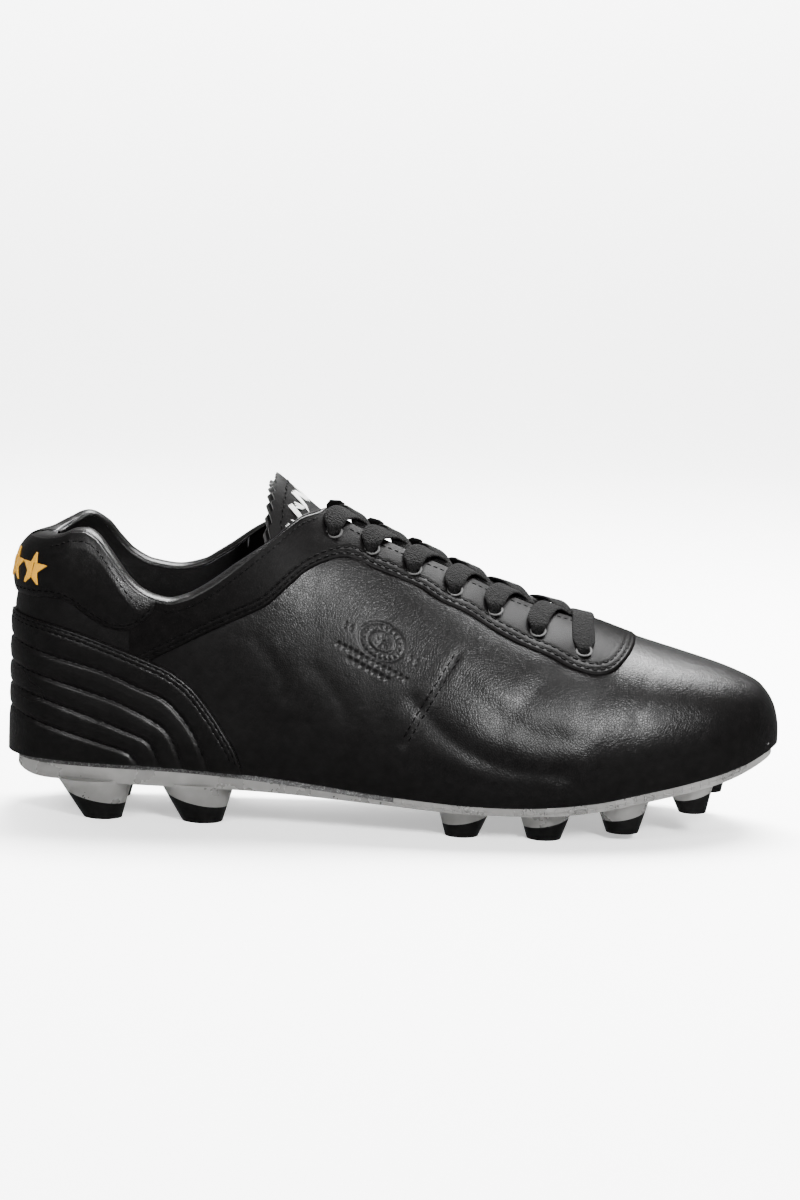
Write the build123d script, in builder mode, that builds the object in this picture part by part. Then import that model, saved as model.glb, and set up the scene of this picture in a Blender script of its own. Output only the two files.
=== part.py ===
"""Classic leather football boot for firm ground, right foot.

Frame: +X to the toe, +Y to the medial side, +Z up. The boot stands on its studs at z = 0, and
the origin is under the middle of its bounding box. Millimetres.

The upper is a set of layers around one last shape. A layer is the room between two copies of
that shape, one inside the other, cut to a panel's outline as seen from the side.
"""

import os
from math import cos, pi, radians, sin, sqrt

from build123d import *

# ---------------------------------------------------------------- driving dimensions
HEEL_X = -143.0
TOE_X = 143.0
WIDE = 120.0  # cutting prisms reach this far to each side
FAR_X = 160.0  # and this far to the heel and toe ends
LOW = -20.0
HIGH = 175.0
FOOT_SHARE = 0.95  # width of a section below the sole's junction, against its widest
WIDEST_HEIGHT = (15.0, 0.3)  # height of the widest line above the junction: most, and share
SKIRT = (8.0, 0.6)  # how far a copy reaches below the junction: least, and share of its depth

# Layers of the upper, as depths below the outside of the main leather
OVERLAY = -1.0
COLLAR_PANEL = -1.5
LEATHER = 1.2
BACKING = 2.0
LINING = 3.4
PADDING = 6.2
PAD_LINING = 7.6
BINDING_RISE = 1.7
BINDING_DEPTH = 8.4

# Ends of the panels, by station
TOE_PUFF_X = 106.0
VAMP_LINING_X = 64.0
HEEL_LINING_X = -66.0
LINING_SEAM_Y = 2.0
FACING_X = (-84.0, 95.0)

# Tongue, measured down from its own ridge line
TONGUE_LEATHER = 1.1
TONGUE_FOAM = 4.1
TONGUE_LINING = 4.9
TONGUE_SIDE_GAP = 6.8
TONGUE_HALF_WIDTH = 27.0
TONGUE_MIDDLE_Y = 2.0
TONGUE_SPAN = (-60.0, 84.0)  # stations between which it is cut
TONGUE_LAST = (-60.0, 96.0)  # stations of the shape that it is cut from
TONGUE_TOP_EDGE = [(-47.5, 129), (-49, 118), (-50.5, 104), (-51.5, 88), (-48, 72)]

# Bottom
PLATE_EDGE = 1.0
SOLE_DEPTH = 3.0  # the sole's edge inside the widest line of the upper
SEAT = 0.05  # clearance where the plate, the upper and the board meet
BOARD_THICK = 1.8
SOCKLINER_THICK = 4.0
WALL_GAP = 0.15
SOCKLINER_GAP = (0.4, 0.1)  # inside the board's edge and above the board
RAND_THICK = 1.9
RAND_WIDTH = 5.2
SHANK = (96.0, 13.0, 1.4)
SHANK_X = -18.0
TOE_TWIST = (120.0, 1.5)  # the toe's outline leans this far to the medial side past this station

# Lace and eyelets
LACE_DIAMETER = 2.4
EYELET_DIAMETER = 5.0
LACE_LIFT = 2.7  # centre of the lace above the main leather
LACE_DEPTH = 5.1  # centre of the lace below the outside of the leather, under a flap
LAST_LACE_DEPTH = 3.6  # and at the last eyelets, where the tongue is nearer
LACE_CROSSING = (0.9, 3.9)  # lower and upper strand over the ridge of the leather
LACE_APPROACH = (6.5, 6.0)  # from an eyelet to the next route point, above and under the flap
LACE_UNDER_RISE = 1.5  # how far that last point is nearer to the flap
AGLET = (22.0, 3.6)

# Half width of the boot at its widest height, by station
LATERAL_WIDTH = [
    (-143, 0), (-139, 13.5), (-135, 18.5), (-128, 23.5), (-120, 27), (-100, 31.5), (-70, 33),
    (-40, 36), (0, 42), (30, 46.5), (60, 45.5), (90, 39.5), (115, 30), (130, 20.5), (138, 12.5),
    (143, 0),
]
MEDIAL_WIDTH = [
    (-143, 0), (-139, 13.5), (-135, 18.5), (-128, 23), (-120, 26.5), (-100, 30), (-70, 29.5),
    (-40, 29), (0, 33), (30, 42), (50, 46), (70, 46.5), (95, 43), (115, 35), (130, 24.5),
    (138, 15.5), (143, 0),
]
# Heights by station: junction of upper and sole, underside of the sole, and the ridge
FEATHER = [
    (-143, 21.5), (-104, 22), (-53, 20), (12, 14.2), (42, 13.2), (72, 15.2), (92, 18.8),
    (108, 21.9), (127, 26.5), (143, 33),
]
UNDERSIDE = [
    (-143, 17), (-136, 14.8), (-124, 14.4), (-92, 14.3), (-53, 14), (12, 11), (42, 10.2),
    (72, 11.8), (92, 15.4), (108, 18.4), (127, 23), (143, 29.5),
]
RIDGE = [
    (-143, 76), (-141.4, 86), (-138, 97), (-135, 104), (-130, 113), (-120, 127), (-108, 137),
    (-90, 142), (-70, 140), (-55, 135), (-47, 131.5), (-40, 126.5), (-30, 119.5), (-10, 109),
    (5, 102.5), (20, 96), (34, 89.5), (49, 83.5), (64, 78.5), (75, 75), (90, 70), (105, 65.5),
    (120, 61), (127, 58.5), (135, 54.7), (138.6, 51), (141.6, 45.6), (143, 40),
]
TONGUE_RIDGE = [
    (-60, 133), (-47, 128), (-40, 122.6), (-30, 114.4), (-20, 107.6), (-10, 101.8), (5, 95),
    (20, 88.4), (34, 82), (49, 75.6), (64, 70), (80, 64.5), (90, 60.5),
]
# How far the ridge lies to the medial side, and how full the section is (2 is an ellipse)
RIDGE_SHIFT = [(-143, 0), (-60, 0), (0, 2), (60, 3), (143, 3)]
FULLNESS = [
    (-143, 2.4), (-90, 2.6), (-60, 2.2), (-45, 1.95), (-30, 1.8), (0, 1.7), (40, 1.75), (70, 1.9),
    (100, 2.1), (143, 2.3),
]
STATIONS = [
    -142.6, -141, -138, -133, -126, -116, -104, -90, -75, -60, -45, -30, -12, 8, 28, 48, 66, 82,
    96, 108, 118, 126, 133, 138, 141, 142.6,
]
SECTION_STEPS = 5  # points from the widest height to the ridge, on each side
HEEL_CENTRE = -110.0
TOE_CENTRE = 105.0

# Outlines seen from the side, (x, z)
LATERAL_TOPLINE = [
    (-160, 100.6), (-138, 101.2), (-131, 101.6), (-125, 103), (-120, 105.2), (-116, 105.6),
    (-112, 104), (-108, 99.8), (-104, 94.6), (-100, 89.6), (-95, 85.4), (-89, 82.8), (-84, 82),
    (-77, 83.8), (-71, 87), (-64.6, 91.4), (-58, 96.6), (-52, 101.4), (-47, 105.3), (-41, 110.4),
    (-36, 113.6), (-30, 115.2),
]
MEDIAL_TOPLINE = [
    (-160, 100.6), (-138, 101.2), (-131, 102.4), (-125, 105.4), (-119, 107.6), (-112, 104),
    (-107, 98), (-102, 92.8), (-94, 88.7), (-84, 87.3), (-74, 89.5), (-68, 93.1), (-61, 98),
    (-55, 103), (-47, 108.6), (-40, 113), (-35, 116), (-30, 117.6),
]
PAD_RISE_X = -92.0  # ahead of this station the padding's lower edge rises to the topline
PADDED_EDGE = [
    (-160, 71), (-120, 71), (-104, 70), (-92, 69), (-82, 70), (-73, 74), (-65, 81), (-60, 89),
    (-57.5, 100), (-57, 130),
]
FACING_EDGE = [
    (-92, 60), (-86.5, 63), (-68, 72.7), (-58, 77.6), (-49, 82), (-40, 90), (-34, 95), (-28, 97.8),
    (-22, 99.3), (-17, 98.7), (-10, 95.6), (6, 89.6), (24, 81), (46, 70), (61, 64), (73, 60.8),
    (79, 62), (84, 65.7), (88.5, 69), (92, 80),
]
COUNTER_EDGE = [
    (-160, 74.6), (-142, 73.6), (-123, 71), (-105, 66), (-86, 59), (-80, 55.7), (-74, 51),
    (-68, 43.7), (-63, 36.5), (-58, 28), (-55.5, 21), (-54, 8),
]
COLLAR_PANEL_EDGE = [
    (-87, 90), (-88, 83), (-90, 78), (-95, 73.5), (-100, 71.6), (-106, 72.4), (-113, 75.6),
    (-120, 79), (-126, 80), (-133, 78.5), (-146, 77), (-160, 77),
]
STIFFENER_EDGE = [(-160, 69), (-125, 68), (-104, 62), (-86, 50), (-76, 36), (-70, 8)]

# Eyelets from the toe end to the ankle, (x, z) on the lateral flap
EYELETS = [(68, 68.2), (51, 74.4), (35, 81.3), (20, 88), (4.7, 95), (-11, 102), (-25, 108)]
EYELET_RISE = 1.0  # the medial eyelets are this much higher
EYELET_DRILL = (7.0, 12.0)  # from how far under the leather, and how long
THROAT_END = 72.0
THROAT_MIDDLE_Y = 2.75
THROAT_FLOOR = 50.0
THROAT_OUTLINE = [(66, -5.5), (-60, -8.5), (-60, 11.5), (66, 11.0)]  # seen from above

# Studs: x range at the plate and at the tip, y of the centre, z at the plate and at the tip
STUD_WIDTH = 0.92
HEEL_STUDS = [
    ((-125, -96.5), (-114.6, -100.3), 14.3, 0.0, 19.0),
    ((-87, -58.6), (-78, -63), 14.1, 0.0, 20.0),
]
FOREFOOT_STUDS = [
    ((16, 36.6), (19.3, 31.4), 10.7, 0.0, 31.0),
    ((45.6, 66), (49.3, 61.8), 10.7, 0.0, 31.5),
    ((74, 94), (78.5, 90.4), 13.6, 2.5, 28.0),
    ((100.6, 118), (105.6, 115.7), 18.6, 9.0, 19.5),
]
MEDIAL_FOREFOOT_SHIFT = 9.0
HEEL_TIP = (11.5, 5.6)  # height of the black tip at its heel side and at its toe side
FOREFOOT_TIP = (4.5, 8.6)
PIN_DIAMETER = 4.6
PIN_HEIGHT = 3.2


# ---------------------------------------------------------------- the last shape
def at(stations, x):
    """The value at x of a smooth curve through (x, value) stations."""
    xs = [s[0] for s in stations]
    vs = [s[1] for s in stations]
    x = min(max(x, xs[0]), xs[-1])
    i = max(k for k in range(len(xs) - 1) if xs[k] <= x)
    slopes = []
    for k in (i, i + 1):
        if k == 0 or k == len(xs) - 1:
            j = min(k, len(xs) - 2)
            slopes.append((vs[j + 1] - vs[j]) / (xs[j + 1] - xs[j]))
        else:
            before = (vs[k] - vs[k - 1]) / (xs[k] - xs[k - 1])
            after = (vs[k + 1] - vs[k]) / (xs[k + 1] - xs[k])
            both = before + after
            slopes.append(2 * before * after / both if before * after > 0 else 0.0)
    h = xs[i + 1] - xs[i]
    t = (x - xs[i]) / h
    return (
        vs[i] * (1 + 2 * t) * (1 - t) ** 2
        + slopes[0] * h * t * (1 - t) ** 2
        + vs[i + 1] * t * t * (3 - 2 * t)
        + slopes[1] * h * t * t * (t - 1)
    )


def half_width(table, x):
    """Half width at x. Its square is interpolated, which makes both ends round."""
    squares = [(s, w * w) for s, w in table]
    return sqrt(max(at(squares, x), 0.0))


def end_scale(x, depth):
    """How much a section near the heel or toe end shrinks for a copy that lies depth inside."""
    if x < HEEL_CENTRE:
        return 1 - depth / (HEEL_CENTRE - HEEL_X)
    if x > TOE_CENTRE:
        return 1 - depth / (TOE_X - TOE_CENTRE)
    return None


def moved_station(x, depth):
    """Where the section of station x lies in a copy that is depth inside."""
    if x < HEEL_CENTRE:
        return HEEL_CENTRE + (x - HEEL_CENTRE) * end_scale(x, depth)
    if x > TOE_CENTRE:
        return TOE_CENTRE + (x - TOE_CENTRE) * end_scale(x, depth)
    return x


def inset_width(table, x, depth):
    """Half width at station x of a copy that is depth inside."""
    w = half_width(table, x)
    widest = max(w, half_width(table, HEEL_CENTRE if x < 0 else TOE_CENTRE))
    return w - depth * w / widest


def widest_height(foot, top):
    """Height where a section between two heights is widest."""
    return foot + min(WIDEST_HEIGHT[0], WIDEST_HEIGHT[1] * (top - foot))


def section_points(x, depth, ridge):
    """Points (y, z) of the section at station x, from the lateral foot over the ridge."""
    foot = at(FEATHER, x)
    top = max(at(ridge, x) - depth, foot + WIDEST_HEIGHT[1] * (at(ridge, x) - foot))
    wide_z = widest_height(foot, top)
    shift = at(RIDGE_SHIFT, x)
    power = 2 / at(FULLNESS, x)
    points = []
    for side, table in ((-1, LATERAL_WIDTH), (1, MEDIAL_WIDTH)):
        w = inset_width(table, x, depth)
        reach = max(w - side * shift, 0.4 * w)
        half = [(shift + side * reach * FOOT_SHARE, foot - 2)]
        for k in range(SECTION_STEPS):
            t = pi / 2 * k / SECTION_STEPS
            half.append(
                (
                    shift + side * reach * cos(t) ** power,
                    wide_z + (top - wide_z) * sin(t) ** power,
                )
            )
        points += half + [(shift, top)] if side < 0 else half[::-1]
    return points


def last_solid(depth, ridge=RIDGE, first=STATIONS[0], end=STATIONS[-1]):
    """The closed last shape, depth inside the outer leather."""
    with BuildPart() as shape:
        for x in STATIONS:
            if not first <= x <= end:
                continue
            points = section_points(x, depth, ridge)
            steps = [k / (len(points) - 1) for k in range(len(points))]
            with BuildSketch(Plane.YZ.offset(moved_station(x, depth))):
                low = at(FEATHER, x) - SKIRT[0] - SKIRT[1] * depth
                with BuildLine():
                    add(Edge.make_spline([Vector(y, z) for y, z in points], parameters=steps))
                    Polyline(points[-1], (points[-1][0], low), (points[0][0], low), points[0])
                make_face()
        loft()
    return shape.part


def surface_y(x, z, side, depth=0.0):
    """Distance from the middle plane of the upper's surface at (x, z), with its sign."""
    foot = at(FEATHER, x)
    top = at(RIDGE, x) - depth
    wide_z = widest_height(foot, top)
    shift = at(RIDGE_SHIFT, x)
    table = LATERAL_WIDTH if side < 0 else MEDIAL_WIDTH
    reach = inset_width(table, x, depth) - side * shift
    rise = min(max((z - wide_z) / (top - wide_z), 0.0), 1.0)
    n = at(FULLNESS, x)
    return shift + side * reach * (1 - rise**n) ** (1 / n)


def side_prism(points, closing, sides=(-1, 1)):
    """A prism across the boot over an outline in the XZ plane, for one side or both."""
    with BuildPart() as prism:
        with BuildSketch(Plane.XZ):
            with BuildLine():
                Spline(*points)
                Polyline(points[-1], *closing, points[0])
            make_face()
        extrude(amount=-WIDE * sides[-1], both=len(sides) == 2)
    return prism.part


def slab(low_x, high_x, low_y=-WIDE, high_y=WIDE, low_z=LOW, high_z=HIGH):
    """A box between two corners."""
    with BuildPart() as box:
        with Locations(((low_x + high_x) / 2, (low_y + high_y) / 2, (low_z + high_z) / 2)):
            Box(high_x - low_x, high_y - low_y, high_z - low_z)
    return box.part


def save(piece, name):
    """Label a finished piece and write it as the node of that name."""
    piece.label = name
    export_step(piece, f"parts/{name}.step")


os.makedirs("parts", exist_ok=True)

# ---------------------------------------------------------------- cutting tools
feather_line = [(-FAR_X, 21.5)] + FEATHER + [(FAR_X, 40)]
below_feather = side_prism(feather_line, [(FAR_X, LOW), (-FAR_X, LOW)])
above_topline = side_prism(
    LATERAL_TOPLINE, [(-28, 116), (-28, HIGH), (-FAR_X, HIGH)], sides=(-1,)
) + side_prism(MEDIAL_TOPLINE, [(-28, 118), (-28, HIGH), (-FAR_X, HIGH)], sides=(1,))
padded_region = side_prism(PADDED_EDGE, [(-FAR_X, 130)])
counter_region = side_prism(COUNTER_EDGE, [(-FAR_X, 8)])
stiffener_region = side_prism(STIFFENER_EDGE, [(-FAR_X, 8)])
facing_region = side_prism(FACING_EDGE, [(92, HIGH), (-92, HIGH)])
collar_panel_region = side_prism(COLLAR_PANEL_EDGE, [(-FAR_X, 130), (-87, 130)])
topline_band = above_topline - Pos(0, 0, BINDING_RISE) * above_topline

with BuildPart() as throat:
    with BuildSketch(Plane.XY.offset(THROAT_FLOOR)):
        with BuildLine():
            Polyline(*THROAT_OUTLINE)
            ThreePointArc(THROAT_OUTLINE[0], (THROAT_END, THROAT_MIDDLE_Y), THROAT_OUTLINE[-1])
        make_face()
    extrude(amount=HIGH - THROAT_FLOOR)


def eyelet_place(index, side):
    """Centre of an eyelet on the leather and the outward direction there."""
    x, z = EYELETS[index]
    z = z if side < 0 else z + EYELET_RISE
    y = surface_y(x, z, side)
    reach = 1.5
    along = Vector(0, surface_y(x, z + reach, side) - surface_y(x, z - reach, side), 2 * reach)
    normal = along.cross(Vector(1, 0, 0)).normalized() * -side
    if normal.Y * side < 0:
        normal = normal * -1
    return Vector(x, y, z), normal


with BuildPart() as eyelet_drills:
    for number in range(len(EYELETS)):
        for side in (-1, 1):
            centre, normal = eyelet_place(number, side)
            with BuildSketch(Plane(origin=centre - normal * EYELET_DRILL[0], z_dir=normal)):
                Circle(EYELET_DIAMETER / 2)
            extrude(amount=EYELET_DRILL[1])

# ---------------------------------------------------------------- layers of the upper
layer = {
    depth: last_solid(depth)
    for depth in (
        COLLAR_PANEL, OVERLAY, 0.0, LEATHER, BACKING, LINING, PADDING, PAD_LINING, BINDING_DEPTH,
    )
}
openings = below_feather + above_topline + throat.part + eyelet_drills.part

with BuildPart() as upper_leather:
    add(layer[0.0])
    add(layer[LEATHER], mode=Mode.SUBTRACT)
    add(openings, mode=Mode.SUBTRACT)
save(upper_leather.part, "upper_leather")

with BuildPart() as eyestay_facing:
    add(layer[OVERLAY])
    add(layer[0.0], mode=Mode.SUBTRACT)
    add(facing_region, mode=Mode.INTERSECT)
    add(openings, mode=Mode.SUBTRACT)
    add(collar_panel_region, mode=Mode.SUBTRACT)
    add(counter_region, mode=Mode.SUBTRACT)
    add(slab(*FACING_X), mode=Mode.INTERSECT)
save(eyestay_facing.part, "eyestay_facing")

with BuildPart() as heel_counter_cover:
    add(layer[OVERLAY])
    add(layer[0.0], mode=Mode.SUBTRACT)
    add(counter_region, mode=Mode.INTERSECT)
    add(below_feather, mode=Mode.SUBTRACT)
save(heel_counter_cover.part, "heel_counter_cover")

with BuildPart() as heel_collar_panel:
    add(layer[COLLAR_PANEL])
    add(layer[0.0], mode=Mode.SUBTRACT)
    add(collar_panel_region, mode=Mode.INTERSECT)
    add(above_topline, mode=Mode.SUBTRACT)
save(heel_collar_panel.part, "heel_collar_panel")

# ---------------------------------------------------------------- backing and stiffeners
toe_cap_box = slab(TOE_PUFF_X, FAR_X)
with BuildPart() as toe_puff:
    add(layer[LEATHER])
    add(layer[BACKING], mode=Mode.SUBTRACT)
    add(toe_cap_box, mode=Mode.INTERSECT)
    add(below_feather, mode=Mode.SUBTRACT)
save(toe_puff.part, "toe_puff")

with BuildPart() as heel_stiffener:
    add(layer[LEATHER])
    add(layer[BACKING], mode=Mode.SUBTRACT)
    add(stiffener_region, mode=Mode.INTERSECT)
    add(below_feather, mode=Mode.SUBTRACT)
save(heel_stiffener.part, "heel_stiffener")

with BuildPart() as upper_backing:
    add(layer[LEATHER])
    add(layer[BACKING], mode=Mode.SUBTRACT)
    add(toe_cap_box, mode=Mode.SUBTRACT)
    add(stiffener_region, mode=Mode.SUBTRACT)
    add(openings, mode=Mode.SUBTRACT)
save(upper_backing.part, "upper_backing")

# ---------------------------------------------------------------- padding and linings
with BuildPart() as collar_padding:
    add(layer[BACKING])
    add(layer[PADDING], mode=Mode.SUBTRACT)
    add(padded_region, mode=Mode.INTERSECT)
    add(openings, mode=Mode.SUBTRACT)
save(collar_padding.part, "collar_padding")

step = PAD_LINING - PADDING
lining_step = [(x + (step if x > PAD_RISE_X else 0), z - step) for x, z in PADDED_EDGE[:-1]]
lining_step.append((PADDED_EDGE[-1][0] + step, PADDED_EDGE[-1][1]))
padded_region_and_step = side_prism(lining_step, [(-FAR_X, 130)])
lining_riser = (layer[BACKING] - layer[PAD_LINING]) & (padded_region_and_step - padded_region)
lining_over_padding = (layer[PADDING] - layer[PAD_LINING]) & padded_region
with BuildPart() as whole_lining:
    add(layer[BACKING])
    add(layer[LINING], mode=Mode.SUBTRACT)
    add(padded_region, mode=Mode.SUBTRACT)
    add(lining_riser)
    add(lining_over_padding)
    add(openings, mode=Mode.SUBTRACT)

LINING_CUTS = {
    "vamp_lining": slab(VAMP_LINING_X, FAR_X),
    "lateral_quarter_lining": slab(HEEL_LINING_X, VAMP_LINING_X, high_y=LINING_SEAM_Y),
    "medial_quarter_lining": slab(HEEL_LINING_X, VAMP_LINING_X, low_y=LINING_SEAM_Y),
    "heel_lining": slab(-FAR_X, HEEL_LINING_X),
}
for name, box in LINING_CUTS.items():
    with BuildPart() as lining:
        add(whole_lining.part)
        add(box, mode=Mode.INTERSECT)
    save(lining.part, name)

room_ahead_of_padding = layer[LINING] & slab(PADDED_EDGE[-1][0] + step, 0)
with BuildPart() as collar_binding:
    add(layer[OVERLAY])
    add(layer[BINDING_DEPTH], mode=Mode.SUBTRACT)
    add(topline_band, mode=Mode.INTERSECT)
    add(room_ahead_of_padding, mode=Mode.SUBTRACT)
    add(throat.part, mode=Mode.SUBTRACT)
save(collar_binding.part, "collar_binding")

# ---------------------------------------------------------------- tongue
tongue_edge_prism = side_prism(TONGUE_TOP_EDGE, [(90, 30), (90, 140)])
tongue_strip = slab(
    *TONGUE_SPAN, TONGUE_MIDDLE_Y - TONGUE_HALF_WIDTH, TONGUE_MIDDLE_Y + TONGUE_HALF_WIDTH
)
raised_ridge = [(x, z + TONGUE_SIDE_GAP) for x, z in TONGUE_RIDGE]
tongue_layer = {
    depth: last_solid(TONGUE_SIDE_GAP + depth, raised_ridge, *TONGUE_LAST)
    for depth in (0.0, TONGUE_LEATHER, TONGUE_FOAM, TONGUE_LINING)
}


def tongue_piece(outer, inner, name):
    """One layer of the tongue between two depths."""
    with BuildPart() as piece:
        add(tongue_layer[outer])
        add(tongue_layer[inner], mode=Mode.SUBTRACT)
        add(tongue_strip, mode=Mode.INTERSECT)
        add(tongue_edge_prism, mode=Mode.INTERSECT)
    save(piece.part, name)


tongue_piece(0.0, TONGUE_LEATHER, "tongue_leather")
tongue_piece(TONGUE_LEATHER, TONGUE_FOAM, "tongue_foam")
tongue_piece(TONGUE_FOAM, TONGUE_LINING, "tongue_lining")


# ---------------------------------------------------------------- bottom
def plan_outline(depth, count=22):
    """Points of the boot's outline from above, depth inside its widest line."""
    points = []
    for side, table in ((-1, LATERAL_WIDTH), (1, MEDIAL_WIDTH)):
        row = []
        for k in range(count + 1):
            x = HEEL_X * cos(pi * k / count)
            row.append((moved_station(x, depth), side * inset_width(table, x, depth)))
        points += row if side < 0 else row[-2:0:-1]
    start, lean = TOE_TWIST
    return [(x, y + lean * max(x - start, 0) / (TOE_X - start)) for x, y in points]


def bottom_slice(depth, low, high):
    """A flat-bottomed layer between two side-view curves, within an outline."""
    with BuildPart() as piece:
        with BuildSketch(Plane.XY.offset(LOW)):
            with BuildLine():
                Spline(*plan_outline(depth), periodic=True)
            make_face()
        extrude(amount=HIGH)
        with BuildSketch(Plane.XZ):
            with BuildLine():
                Spline(*low)
                Spline(*high)
                Line(low[0], high[0])
                Line(low[-1], high[-1])
            make_face()
        extrude(amount=WIDE, both=True, mode=Mode.INTERSECT)
    return piece


def raised(line, rise):
    """A side-view curve moved up."""
    return [(x, z + rise) for x, z in line]


underside_line = [(-FAR_X, 19)] + UNDERSIDE + [(FAR_X, 36)]
plate_top = raised(feather_line, -SEAT)
plate_depth = SOLE_DEPTH - PLATE_EDGE
board_wall = LINING + SOLE_DEPTH + WALL_GAP


def stud(place, y, forward=0.0):
    """A tapered stud as one solid, from inside the plate down to its flat end."""
    (top_a, top_b), (low_a, low_b), top_z, low_z, _ = place
    with BuildPart() as whole:
        for a, b, z in ((top_a, top_b, top_z + 1.0), (low_a, low_b, low_z)):
            with BuildSketch(Plane.XY.offset(z)):
                with Locations(((a + b) / 2 + forward, y)):
                    Ellipse((b - a) / 2, STUD_WIDTH * (b - a) / 2)
        loft()
    return whole.part


def tip_region(place, heights, forward=0.0):
    """Everything below the slanted joint between a stud's black tip and its clear base."""
    (a, b), _, _, low_z, _ = place
    left, right = a + forward, b + forward
    with BuildPart() as region:
        with BuildSketch(Plane.XZ):
            with BuildLine():
                ThreePointArc(
                    (left, heights[0] + low_z),
                    ((left + right) / 2, sum(heights) / 2 - 1.0 + low_z),
                    (right, heights[1] + low_z),
                )
                Polyline(
                    (right, heights[1] + low_z), (right, LOW), (left, LOW),
                    (left, heights[0] + low_z),
                )
            make_face()
        extrude(amount=WIDE, both=True)
    return region.part


def stud_set(places, heights, medial_forward):
    """Bases, tips and pins of a row of stud pairs."""
    bases, tips, pins = [], [], []
    for place in places:
        for side in (-1, 1):
            forward = medial_forward if side > 0 else 0.0
            whole = stud(place, side * place[4], forward)
            region = tip_region(place, heights, forward)
            tips.append(whole & region)
            bases.append(whole - region)
            (a, b), _, top_z, low_z, _ = place
            low = low_z + sum(heights) / 2 + 0.4
            height = min(PIN_HEIGHT, top_z - low)
            with BuildPart() as pin:
                with BuildSketch(Plane.XY.offset(low)):
                    with Locations(((a + b) / 2 + forward, side * place[4])):
                        Circle(PIN_DIAMETER / 2)
                extrude(amount=height)
            pins.append(pin.part)
    return bases, tips, pins


heel_bases, heel_tips, heel_pins = stud_set(HEEL_STUDS, HEEL_TIP, 0.0)
fore_bases, fore_tips, fore_pins = stud_set(
    FOREFOOT_STUDS, FOREFOOT_TIP, MEDIAL_FOREFOOT_SHIFT
)

with BuildPart() as stud_pins:
    for pin in heel_pins + fore_pins:
        add(pin)
save(stud_pins.part, "stud_pins")

shank_top = raised(feather_line, -2 * SEAT)
shank_low = raised(shank_top, -SHANK[2])
with BuildPart() as shank:
    with BuildSketch(Plane.XY.offset(LOW)):
        with Locations((SHANK_X, 0)):
            SlotOverall(SHANK[0], SHANK[1])
    extrude(amount=HIGH)
    with BuildSketch(Plane.XZ):
        with BuildLine():
            Spline(*shank_low)
            Spline(*shank_top)
            Line(shank_low[0], shank_top[0])
            Line(shank_low[-1], shank_top[-1])
        make_face()
    extrude(amount=WIDE, both=True, mode=Mode.INTERSECT)
save(shank.part, "shank")

rand_outer = plate_depth - 0.2
rand_slice = bottom_slice(rand_outer, raised(feather_line, -RAND_THICK), plate_top)
rand_core = bottom_slice(
    rand_outer + RAND_WIDTH, raised(feather_line, -9.0), raised(feather_line, 9.0)
)
with BuildPart() as heel_rand:
    add(rand_slice.part)
    add(rand_core.part, mode=Mode.SUBTRACT)
    add(slab(-FAR_X, 0), mode=Mode.INTERSECT)
save(heel_rand.part, "heel_rand")

plate_slice = bottom_slice(plate_depth, underside_line, plate_top)
with BuildPart() as outsole_plate:
    add(plate_slice.part)
    for base in heel_bases + fore_bases:
        add(base)
    add(heel_rand.part, mode=Mode.SUBTRACT)
    add(shank.part, mode=Mode.SUBTRACT)
    add(stud_pins.part, mode=Mode.SUBTRACT)
save(outsole_plate.part, "outsole_plate")

for tips, name in ((heel_tips, "heel_stud_tips"), (fore_tips, "forefoot_stud_tips")):
    with BuildPart() as group:
        for tip in tips:
            add(tip)
    save(group.part, name)

board_bottom = raised(feather_line, SEAT)
board_top = raised(feather_line, BOARD_THICK)
insole_board = bottom_slice(board_wall, board_bottom, board_top)
save(insole_board.part, "insole_board")
sockliner = bottom_slice(
    board_wall + SOCKLINER_GAP[0], raised(board_top, SOCKLINER_GAP[1]),
    raised(board_top, SOCKLINER_THICK),
)
save(sockliner.part, "sockliner")


# ---------------------------------------------------------------- lace
def ridge_side(x, y, lift):
    """A point over the upper near its ridge, lift above the outside of the leather."""
    foot = at(FEATHER, x)
    top = at(RIDGE, x)
    wide_z = widest_height(foot, top)
    shift = at(RIDGE_SHIFT, x)
    table = LATERAL_WIDTH if y < shift else MEDIAL_WIDTH
    reach = half_width(table, x) + (shift if y < shift else -shift)
    n = at(FULLNESS, x)
    rise = (1 - (abs(y - shift) / reach) ** n) ** (1 / n)
    return Vector(x, y, wide_z + (top - wide_z) * rise + lift)


def through_eyelet(index, side):
    """Route of the lace from above a flap, in through its eyelet and back under the flap."""
    centre, normal = eyelet_place(index, side)
    inward = Vector(0, -side * abs(normal.Z), abs(normal.Y))
    outside = centre + normal * LACE_LIFT
    inside = centre - normal * (LAST_LACE_DEPTH if index == len(EYELETS) - 1 else LACE_DEPTH)
    above, under = LACE_APPROACH
    return [
        outside + inward * above,
        outside,
        inside,
        inside + inward * under + normal * LACE_UNDER_RISE,
    ]


def crossing(index, side, upper):
    """Route from under the flap at one eyelet to above the other flap at the next one."""
    here, there = EYELETS[index][0], EYELETS[index + 1][0]
    step = there - here
    shift = at(RIDGE_SHIFT, here)
    lift = LACE_CROSSING[1 if upper else 0]
    return [
        ridge_side(here + 0.22 * step, shift + side * 3.6, -3.6 + 0.3 * lift),
        ridge_side(here + 0.5 * step, shift - side * 1.2, lift),
        ridge_side(here + 0.76 * step, shift - side * 7.6, LACE_LIFT + 0.5),
    ]


def lace_half(side, tail):
    """Route of one half of the lace, from the middle of the straight bar to its end."""
    route = []
    for index in range(len(EYELETS)):
        route += through_eyelet(index, side)[0 if index else 1 :]
        if index < len(EYELETS) - 1:
            route += crossing(index, side, upper=side < 0)
            side = -side
    return route[:-1] + [Vector(*p) for p in tail]


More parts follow.
